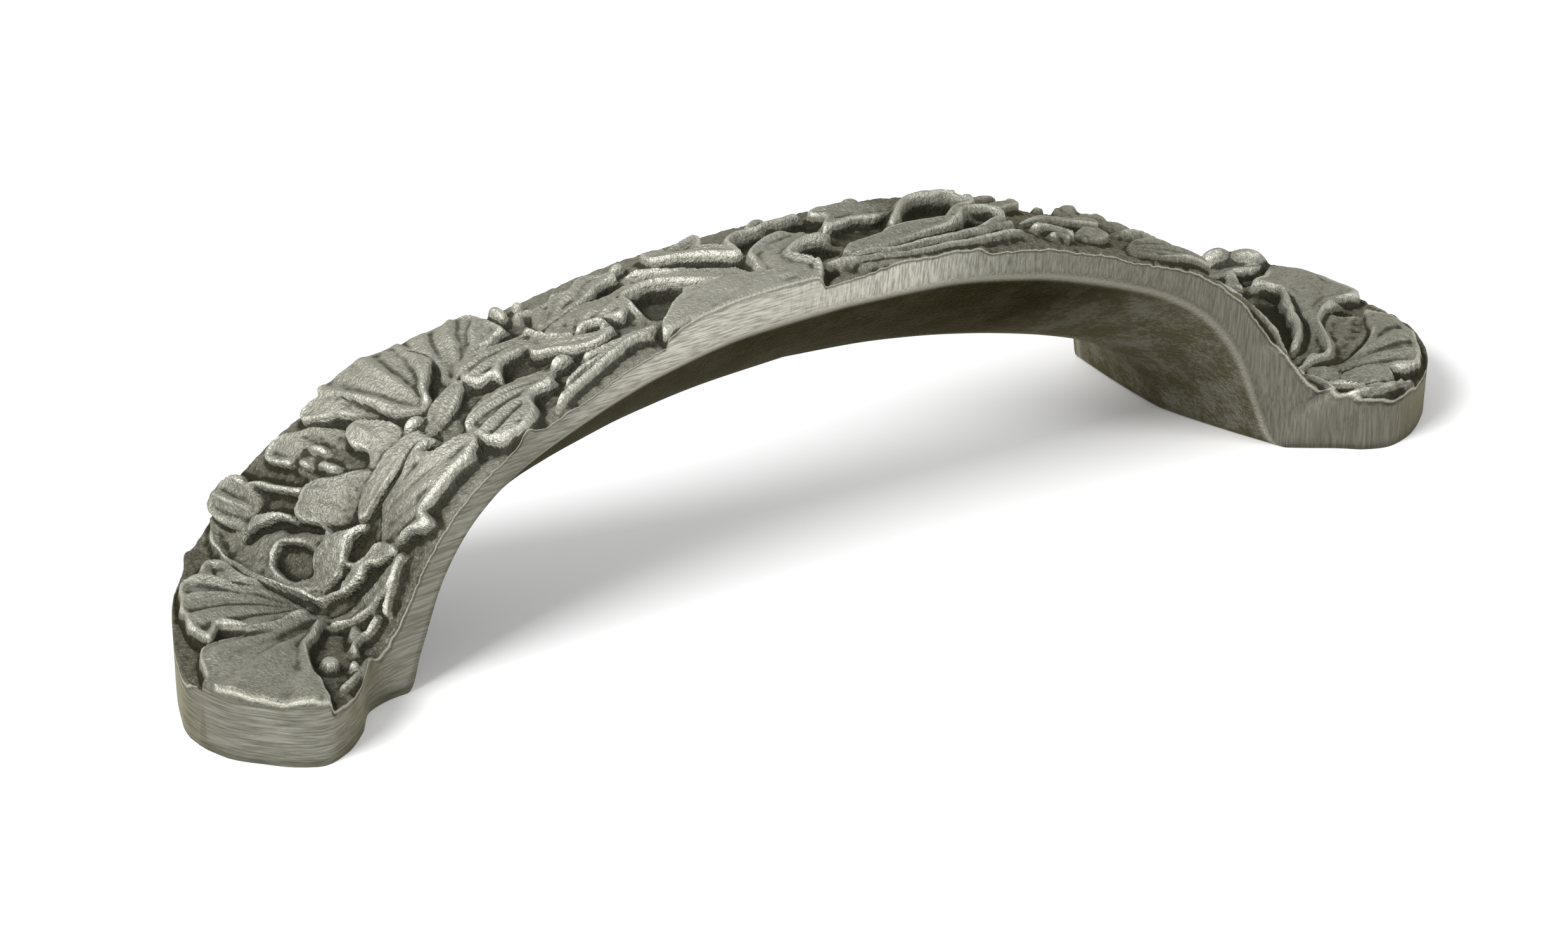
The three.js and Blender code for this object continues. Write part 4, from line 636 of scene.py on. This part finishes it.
def padded(grid, axis, before, after):
    """The grid with its edge repeated at both ends of one axis."""
    return np.pad(grid, [(before, after) if k == axis else (0, 0) for k in (0, 1)], "edge")


def blurred(height, reach):
    """Mean of the grid over a square of neighbours, by running sums along both directions."""
    for axis in (0, 1):
        wide = padded(height, axis, reach + 1, reach)
        total = np.cumsum(wide, axis)
        ahead = np.take(total, range(2 * reach + 1, total.shape[axis]), axis)
        behind = np.take(total, range(0, total.shape[axis] - 2 * reach - 1), axis)
        height = (ahead - behind) / (2 * reach + 1)
    return height


def gaps_closed(height, reaches):
    """Narrow gaps filled: the greatest of the neighbours each way, then the least of those."""
    for extreme in (np.max, np.min):
        for axis, reach in enumerate(reaches):
            wide = padded(height, axis, reach, reach)
            windows = np.lib.stride_tricks.sliding_window_view(wide, 2 * reach + 1, axis)
            height = extreme(windows, -1)
    return height


def carved_height(s, y):
    """All motifs laid down in order on level ground, then rough ground where it is low."""
    height = np.zeros(s.shape)
    s_ruffled = s + RUFFLE * grain(s, y, RUFFLE_CELL, 21)
    y_ruffled = y + RUFFLE * grain(s, y, RUFFLE_CELL, 23)
    for carve in MOTIFS:
        carve(s_ruffled, y_ruffled, height)
    height += GAP_FILL * (gaps_closed(height, GAP_REACH) - height)
    rough = grain(s, y, GRAIN_CELL, 3) + FINE_GRAIN * grain(s, y, GRAIN_CELL / 2, 5)
    waves = grain(s, y, WAVE_CELL, 11)
    shown = 1 - SMOOTH_TOPS * smooth(0.3, 0.9, height)
    return RELIEF * height + GRAIN_HEIGHT * rough * shown + WAVE_HEIGHT * waves


def column(values):
    """A row of numbers, one for each station, as a column."""
    return values[:, None]


def face_surface(knot, s):
    """The face from near to far: its profile, lifted along its normal by crown and carving.

    The crown is a parabola across the face, and the edge drops by the square of a smooth step.
    """
    x, z = face(knot)
    nx, nz = face_normal(knot)
    near, far = column(near_edge(x)), column(far_edge(x))
    share = np.linspace(0, 1, FACE_STEPS + 1)[None, :]
    y = near + (far - near) * share
    along = column(s) + 0 * y
    margin = np.minimum(y - near, far - y)
    carving = carved_height(along, y)
    crown = CROWN * 4 * share * (1 - share) * column(smooth(0, ARCH_HEIGHT, z))
    drop = EDGE_DROP * (1 - smooth(0, EDGE_ROUND, margin)) ** 2
    lift = crown + carving - drop
    return column(x) + column(nx) * lift, y, column(z) + column(nz) * lift, carving


def back_surface(knot):
    """The back from far to near: from its edges it bulges to the keel by 1 less a power."""
    x, z = back(knot)
    deep_x, deep_z = keel(knot)
    near, far = near_edge(x) + WALL_DRAFT, far_edge(x) - WALL_DRAFT
    room = np.minimum(KEEL_ROOM, NARROW_SHARE * (far - near))
    keel_y = column(np.clip(KEEL_OFFSET, near + room, far - room))
    t = np.linspace(1, -1, BACK_STEPS + 1)[None, :]
    belly = 1 - np.abs(t) ** BELLY_POWER
    half = np.where(t > 0, column(far) - keel_y, keel_y - column(near))
    return (column(x) + column(deep_x - x) * belly, keel_y + t * half,
            column(z) + column(deep_z - z) * belly)


def wall_between(start, end):
    """Straight from one column of points to another, without either end."""
    down = np.linspace(0, 1, WALL_STEPS + 1)[None, 1:-1]
    return [column(a) + column(b - a) * down for a, b in zip(start, end)]


def casting():
    """Rings at the stations: face from near to far, far wall, back from far to near, near wall.

    The fields say how the carving stands, what of it is thin or broad, the side and the place.
    """
    knot, s = stations()
    *top, carving = face_surface(knot, s)
    under = back_surface(knot)
    far_wall = wall_between([a[:, -1] for a in top], [a[:, 0] for a in under])
    near_wall = wall_between([a[:, -1] for a in under], [a[:, 0] for a in top])
    x, y, z = (np.concatenate(rows, 1) for rows in zip(top, far_wall, under, near_wall))

    wall_start = FACE_STEPS + 1
    back_start = FACE_STEPS + WALL_STEPS + 1
    side = np.full(x.shape, float(FACE_SIDE))
    side[:, wall_start:] = WALL_SIDE
    side[:, back_start:back_start + BACK_STEPS - 1] = BACK_SIDE
    side[[0, -1]] = WALL_SIDE
    plain = np.zeros((len(s), x.shape[1] - wall_start))
    fields = {"side": side, "along": column(s) + 0 * x}
    for name, values in (("carving", carving),
                         ("lips", carving - blurred(carving, LIP_REACH)),
                         ("ridges", carving - blurred(carving, RIDGE_REACH))):
        fields[name] = np.concatenate([values, plain], 1)
    return np.stack([x - CENTRE, y, z], -1), fields


def mesh_of(name, points, fields):
    """Quads between neighbouring rings, and a fan from the middle of each end ring."""
    count, ring = points.shape[:2]
    i, j = np.meshgrid(np.arange(count - 1), np.arange(ring), indexing="ij")
    a, b = i * ring + j, i * ring + (j + 1) % ring
    quads = np.stack([a, a + ring, b + ring, b], -1).reshape(-1, 4)
    corner = np.arange(ring)
    following = (corner + 1) % ring
    last, hub = (count - 1) * ring, count * ring + 0 * corner
    fans = np.concatenate([np.stack([hub, corner, following], -1),
                           np.stack([hub + 1, last + following, last + corner], -1)])
    middles = points[[0, -1]].mean(1)
    places = np.concatenate([points.reshape(-1, 3), middles]) * MM
    faces = quads.tolist() + fans.tolist()
    mesh = bpy.data.meshes.new(name)
    mesh.from_pydata(places.tolist(), [], faces)
    mesh.polygons.foreach_set("use_smooth", np.ones(len(faces), bool))
    for field, values in fields.items():
        layer = mesh.attributes.new(field, "FLOAT", "POINT")
        ends = values[[0, -1], -1]
        layer.data.foreach_set("value", np.concatenate([values.ravel(), ends]).astype(np.float32))
    mesh.update()
    piece = bpy.data.objects.new(name, mesh)
    bpy.context.scene.collection.objects.link(piece)
    return piece


class Signal:
    """A node's output in a shader: sums, differences and products of it add Math nodes."""

    def __init__(self, shader, socket):
        self.shader, self.socket = shader, socket

    def math(self, operation, *values, clamp=False):
        settings = {"operation": operation, "use_clamp": clamp}
        return self.shader.node("ShaderNodeMath", settings, dict(enumerate(values)))

    def __add__(self, other):
        return self.math("ADD", self, other)

    def __sub__(self, other):
        return self.math("SUBTRACT", self, other)

    def __rsub__(self, other):
        return self.math("SUBTRACT", other, self)

    def __mul__(self, other):
        return self.math("MULTIPLY", self, other)

    def clamped(self):
        return self.math("ADD", self, 0, clamp=True)

    __radd__ = __add__
    __rmul__ = __mul__


class Shader:
    """A material's node tree, built by one method for any node."""

    def __init__(self, name):
        self.material = bpy.data.materials.new(name)
        self.material.use_nodes = True
        self.tree = self.material.node_tree
        self.tree.nodes.clear()

    def node(self, kind, settings=None, values=None, output=0):
        made = self.tree.nodes.new(kind)
        for key, value in (settings or {}).items():
            setattr(made, key, value)
        for key, value in (values or {}).items():
            if isinstance(value, Signal):
                self.tree.links.new(value.socket, made.inputs[key])
            else:
                made.inputs[key].default_value = value
        return Signal(self, made.outputs[output]) if made.outputs else made

    def field(self, name):
        return self.node("ShaderNodeAttribute", {"attribute_name": name}, output=2)

    def point(self, *values):
        return self.node("ShaderNodeCombineXYZ", None, dict(enumerate(values)))

    def noise(self, vector, scale, detail=3, rough=0.55):
        values = {"Vector": vector, "Scale": scale, "Detail": detail, "Roughness": rough}
        return self.node("ShaderNodeTexNoise", None, values)

    def step(self, value, low, high):
        values = {0: value, 1: low, 2: high, 3: 0, 4: 1}
        return self.node("ShaderNodeMapRange", {"interpolation_type": "SMOOTHSTEP"}, values)

    def mix(self, factor, a, b):
        values = {"Factor": factor, 6: a, 7: b}
        return self.node("ShaderNodeMix", {"data_type": "RGBA"}, values, output=2)


def rgb(*linear):
    return (*linear, 1)


# Tints of the aged pewter, in linear light.
GROUND, RAISED, WORN = rgb(0.115, 0.11, 0.084), rgb(0.27, 0.266, 0.23), rgb(0.33, 0.33, 0.288)
DULL, MOTTLED, SPECKLED = rgb(0.13, 0.127, 0.1), rgb(0.12, 0.117, 0.092), rgb(0.035, 0.032, 0.022)
LIGHT_SAND, DARK_SAND = rgb(0.4, 0.4, 0.35), rgb(0.06, 0.057, 0.04)
# The first tint on the next line is painted light for the face from the left leg to the middle.
PAINTED_LIGHT_LEFT, LIP = rgb(0.6, 0.59, 0.52), rgb(0.48, 0.475, 0.42)
CREVICE, GROOVE, HOLLOW = rgb(0.04, 0.037, 0.026), rgb(0.018, 0.017, 0.01), rgb(0.032, 0.03, 0.02)
WALL_DARK, WALL_LIGHT = rgb(0.115, 0.11, 0.088), rgb(0.27, 0.267, 0.23)
# The bright wall tint is a painted highlight, and the wall shade below is painted shade.
WALL_DULL, WALL_PAINTED_HIGHLIGHT = rgb(0.12, 0.115, 0.09), rgb(0.56, 0.55, 0.48)
WALL_SHADE = rgb(0.085, 0.08, 0.06)
# Back tints: painted shade over dark patina, and on the right leg a painted reflection of the
# floor with blotches.
BACK_DARK, BACK_LIGHT = rgb(0.01, 0.009, 0.005), rgb(0.026, 0.025, 0.017)
RIGHT_BACK_DARK, RIGHT_BACK_LIGHT = rgb(0.09, 0.08, 0.05), rgb(0.17, 0.165, 0.135)
# Painted highlights for the arris and for the face's edge at the top of the walls, then the tint
# of the metal's grazing reflection.
ARRIS_HIGHLIGHT, RIM_HIGHLIGHT, GRAZING = rgb(0.33, 0.32, 0.27), rgb(0.5, 0.49, 0.42), rgb(0.7, 0.66, 0.52)

# Cells per metre of the noises and of the brushed lines, and the depth of bumps in metres.
PATCH_SCALE, MOTTLE_SCALE, SPECK_SCALE, SAND_SCALE = 110, 420, 2600, 5200
STREAK_ACROSS, STREAK_DOWN, LINE_ACROSS, LINE_DOWN = 300, 8000, 900, 300
UPRIGHT_ACROSS, UPRIGHT_DOWN = 7000, 320
BUMP_DISTANCE = 0.00013


def brushing(m, along, beside, across, depth):
    """Noise stretched along the wall left of the middle, and up and down it right of there."""
    streaks = m.noise(m.point(along * 0.6, across * STREAK_ACROSS, depth * STREAK_DOWN), 1, 4, 0.6)
    upright = m.noise(m.point(beside * UPRIGHT_ACROSS, across * UPRIGHT_ACROSS,
                              depth * UPRIGHT_DOWN), 1, 4, 0.65)
    turned = m.step(along, -9, 3)
    return streaks * (1 - turned) + upright * turned


def wall_tint(m, along, brushed, patches):
    """Brushed light and dark, with a painted highlight brightest at the middle of the bow and
    painted shade past it to the right.
    """
    tint = m.mix(m.step(brushed, 0.3, 0.7), WALL_DARK, WALL_LIGHT)
    tint = m.mix((patches - 0.3) * 0.9, tint, WALL_DULL)
    # Painted highlight along the middle of the wall.
    middle = m.step(along, -28, -14) * (1 - m.step(along, 3, 13))
    tint = m.mix(middle * (0.27 + 0.55 * m.step(brushed, 0.35, 0.65)), tint, WALL_PAINTED_HIGHLIGHT)
    # Painted shade on the wall past the middle to the right.
    return m.mix(m.step(along, 12, 30) * 0.45, tint, WALL_SHADE)


def pewter():
    """Aged pewter: dark and dull in the hollows, bright and brushed on ridges and walls, with
    painted light on the face's left part, painted highlights on walls and edges, and painted shade
    on the right wall and the back.
    """
    m = Shader("antique_pewter")
    place = m.node("ShaderNodeTexCoord", output=3)
    beside, across, depth = (
        m.node("ShaderNodeSeparateXYZ", None, {0: place}, n) for n in range(3))
    carving, ridges, lips = m.field("carving"), m.field("ridges"), m.field("lips")
    side, along = m.field("side"), m.field("along")
    mottle = m.noise(place, MOTTLE_SCALE)
    speck = m.noise(place, SPECK_SCALE, 2)
    patches = m.noise(place, PATCH_SCALE)
    sand = m.noise(place, SAND_SCALE, 2, 0.6)
    lines = m.noise(m.point(along * 5.5, across * LINE_ACROSS, depth * LINE_DOWN), 1, 3, 0.6)
    brushed = brushing(m, along, beside, across, depth)

    # Where each kind of surface is, from 0 to 1.
    wall = m.step(side, 0.2, 0.45) * (1 - m.step(side, 0.55, 0.8))
    behind = m.step(side, 0.6, 0.95)
    # Painted highlight lines: the face's edge at the top of each wall, and the arris where each
    # wall meets the back.
    rim = m.step(side, 0.02, 0.1) * (1 - m.step(side, 0.12, 0.26))
    arris_highlight = m.step(side, 0.55, 0.7) * (1 - m.step(side, 0.72, 0.88))
    raised = m.step(carving + (mottle - 0.5) * 0.2, 0.05, 0.9)
    crevice = 1 - m.step(ridges + (mottle - 0.5) * 0.1, -0.34, -0.1)
    groove = 1 - m.step(lips + (speck - 0.5) * 0.03, -0.11, -0.015)
    lip = m.step(lips + (speck - 0.5) * 0.08, 0.12, 0.26) * (0.5 + 0.5 * m.step(mottle, 0.35, 0.6))
    worn = m.step(ridges, 0.04, 0.4)
    hollow = 1 - m.step(carving + (speck - 0.5) * 0.1, -0.16, -0.05)
    # Painted light: where the face is lightened, from the left leg to the middle of the bow.
    painted_light_left = m.step(along, -38, -31) * (1 - m.step(along, -8, 6))
    blotch = m.step(mottle + (speck - 0.5) * 0.6, 0.35, 0.75)

    # The face's tint, from broad to fine: high and worn, patches, specks, painted light from the
    # left leg to the middle, lips, then the darks.
    tint = m.mix(raised, GROUND, RAISED)
    tint = m.mix(worn * 0.4, tint, WORN)
    tint = m.mix((1 - patches) * 0.3, tint, DULL)
    tint = m.mix(m.step(speck, 0.46, 0.7) * (1 - raised * 0.55) * 0.75, tint, SPECKLED)
    tint = m.mix(m.step(mottle, 0.42, 0.62) * 0.25, tint, MOTTLED)
    tint = m.mix(m.step(sand, 0.52, 0.7) * 0.4, tint, LIGHT_SAND)
    tint = m.mix((1 - m.step(sand, 0.3, 0.46)) * 0.45, tint, DARK_SAND)
    # Painted light on the face from the left leg to the middle.
    tint = m.mix(painted_light_left * 0.16, tint, PAINTED_LIGHT_LEFT)
    tint = m.mix(lip * 0.8, tint, LIP)
    tint = m.mix(crevice * 0.5, tint, CREVICE)
    tint = m.mix(groove * 0.8, tint, GROOVE)
    tint = m.mix(hollow * 0.7, tint, HOLLOW)

    # Then the walls, the back with painted shade over its patina and a painted reflection on the
    # right leg, and the painted highlights on the edges between them.
    # The right leg's back is lightened by a painted reflection of the floor; its blotches are the
    # metal's own.
    right_back_blotches_and_reflection = m.mix(blotch, RIGHT_BACK_DARK, RIGHT_BACK_LIGHT)
    back_patina_shade_and_reflection = m.mix(m.step(along, 18, 34), m.mix(blotch, BACK_DARK, BACK_LIGHT), right_back_blotches_and_reflection)
    tint = m.mix(wall, tint, wall_tint(m, along, brushed, patches))
    tint = m.mix(behind, tint, back_patina_shade_and_reflection)
    # Painted highlight lines along the arris and along the face's edge.
    tint = m.mix(arris_highlight * 0.55, tint, ARRIS_HIGHLIGHT)
    tint = m.mix(rim * 0.6, tint, RIM_HIGHLIGHT)

    bright = (raised * 0.4 + lip * 0.4 + worn * 0.2).clamped()
    rough = 0.74 - bright * 0.2 + (speck - 0.5) * 0.12
    rough = rough * (1 - wall) + wall * (0.46 + (brushed - 0.5) * 0.14)
    rough = rough * (1 - behind) + behind * 0.55
    bumps = sand * 1.3 + speck * 1.4 + mottle * 0.5 + lines * 0.2
    bumps = bumps * (1 - wall) + brushed * wall * 0.4
    bump = {"Strength": 0.7, "Distance": BUMP_DISTANCE, "Height": bumps}
    surface = m.node("ShaderNodeBsdfPrincipled", None, {
        "Base Color": tint, "Metallic": 1.0, "Roughness": rough.clamped(),
        "Normal": m.node("ShaderNodeBump", None, bump), "Specular Tint": GRAZING})
    m.node("ShaderNodeOutputMaterial", None, {"Surface": surface})
    return m.material


# The studio: floor, lamps, sky and the photograph's viewpoint, in metres and degrees.
FLOOR_HALF = 3.0
FLOOR_TINT = rgb(0.86, 0.86, 0.86)
SKY_SEEN, SKY_LIGHT = rgb(1, 1, 1), rgb(0.62, 0.62, 0.62)
LAMP_TARGET = (0, 0, 0.01)
VIEW_AZIMUTH, VIEW_ELEVATION, VIEW_ROLL = 51.42, 21.17, -0.8664
VIEW_PLACE = (-0.24630, -0.31376, 0.16165)
VIEW_LENS, SENSOR_WIDTH = 152.2, 36


def floor():
    """Large white sheet under the feet."""
    half = FLOOR_HALF
    corners = [(-half, -half, 0), (half, -half, 0), (half, half, 0), (-half, half, 0)]
    mesh = bpy.data.meshes.new("floor")
    mesh.from_pydata(corners, [], [(0, 1, 2, 3)])
    sheet = bpy.data.objects.new("floor", mesh)
    bpy.context.scene.collection.objects.link(sheet)
    m = Shader("white_floor")
    surface = m.node("ShaderNodeBsdfDiffuse", None, {"Color": FLOOR_TINT})
    m.node("ShaderNodeOutputMaterial", None, {"Surface": surface})
    mesh.materials.append(m.material)


def lamp(name, place, target, size, power):
    """Square soft light that faces a target."""
    light = bpy.data.lights.new(name, "AREA")
    light.size, light.energy = size, power
    obj = bpy.data.objects.new(name, light)
    bpy.context.scene.collection.objects.link(obj)
    direction = np.array(target) - np.array(place)
    z = -direction / np.linalg.norm(direction)
    x = np.cross((0, 0, 1), z)
    x /= np.linalg.norm(x)
    turn = Matrix((x, np.cross(z, x), z)).transposed().to_4x4()
    obj.matrix_world = Matrix.Translation(place) @ turn


def world():
    """White for what the camera and the metal see, and a soft grey for the light it gives."""
    sky = bpy.data.worlds.new("studio")
    sky.use_nodes = True
    tree = sky.node_tree
    tree.nodes.clear()
    path = tree.nodes.new("ShaderNodeLightPath")
    seen = tree.nodes.new("ShaderNodeBackground")
    given = tree.nodes.new("ShaderNodeBackground")
    blend = tree.nodes.new("ShaderNodeMixShader")
    out = tree.nodes.new("ShaderNodeOutputWorld")
    seen.inputs[0].default_value = SKY_SEEN
    given.inputs[0].default_value = SKY_LIGHT
    either = tree.nodes.new("ShaderNodeMath")
    every = tree.nodes.new("ShaderNodeMath")
    either.operation = every.operation = "MAXIMUM"
    tree.links.new(path.outputs["Is Camera Ray"], either.inputs[0])
    tree.links.new(path.outputs["Is Glossy Ray"], either.inputs[1])
    tree.links.new(either.outputs[0], every.inputs[0])
    tree.links.new(path.outputs["Is Transmission Ray"], every.inputs[1])
    tree.links.new(every.outputs[0], blend.inputs[0])
    tree.links.new(given.outputs[0], blend.inputs[1])
    tree.links.new(seen.outputs[0], blend.inputs[2])
    tree.links.new(blend.outputs[0], out.inputs[0])
    bpy.context.scene.world = sky


def camera():
    """The photograph's own viewpoint: azimuth, elevation and a small roll, from one distance."""
    azimuth, elevation, roll = np.radians((VIEW_AZIMUTH, VIEW_ELEVATION, VIEW_ROLL))
    flat = math.cos(elevation)
    forward = np.array([flat * math.cos(azimuth), flat * math.sin(azimuth), -math.sin(elevation)])
    level = np.array([math.sin(azimuth), -math.cos(azimuth), 0])
    above = np.cross(level, forward)
    x = math.cos(roll) * level - math.sin(roll) * above
    y = math.sin(roll) * level + math.cos(roll) * above
    view = bpy.data.cameras.new("camera")
    view.lens, view.sensor_width = VIEW_LENS, SENSOR_WIDTH
    view.shift_x, view.shift_y = -0.0422, -0.0331
    view.clip_start, view.clip_end = 0.01, 50
    obj = bpy.data.objects.new("camera", view)
    bpy.context.scene.collection.objects.link(obj)
    turn = Matrix((x, y, -forward)).transposed().to_4x4()
    obj.matrix_world = Matrix.Translation(VIEW_PLACE) @ turn
    bpy.context.scene.camera = obj


points, fields = casting()
pull = mesh_of("carved_pull", points, fields)
pull.data.materials.append(pewter())
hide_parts("pull")
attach(pull, "root")
floor()
world()
lamp("key", (-0.8, -0.15, 0.6), LAMP_TARGET, size=0.5, power=15)
lamp("side", (0.35, -0.7, 0.4), LAMP_TARGET, size=0.4, power=3)
camera()
bpy.context.scene.view_settings.view_transform = "Standard"
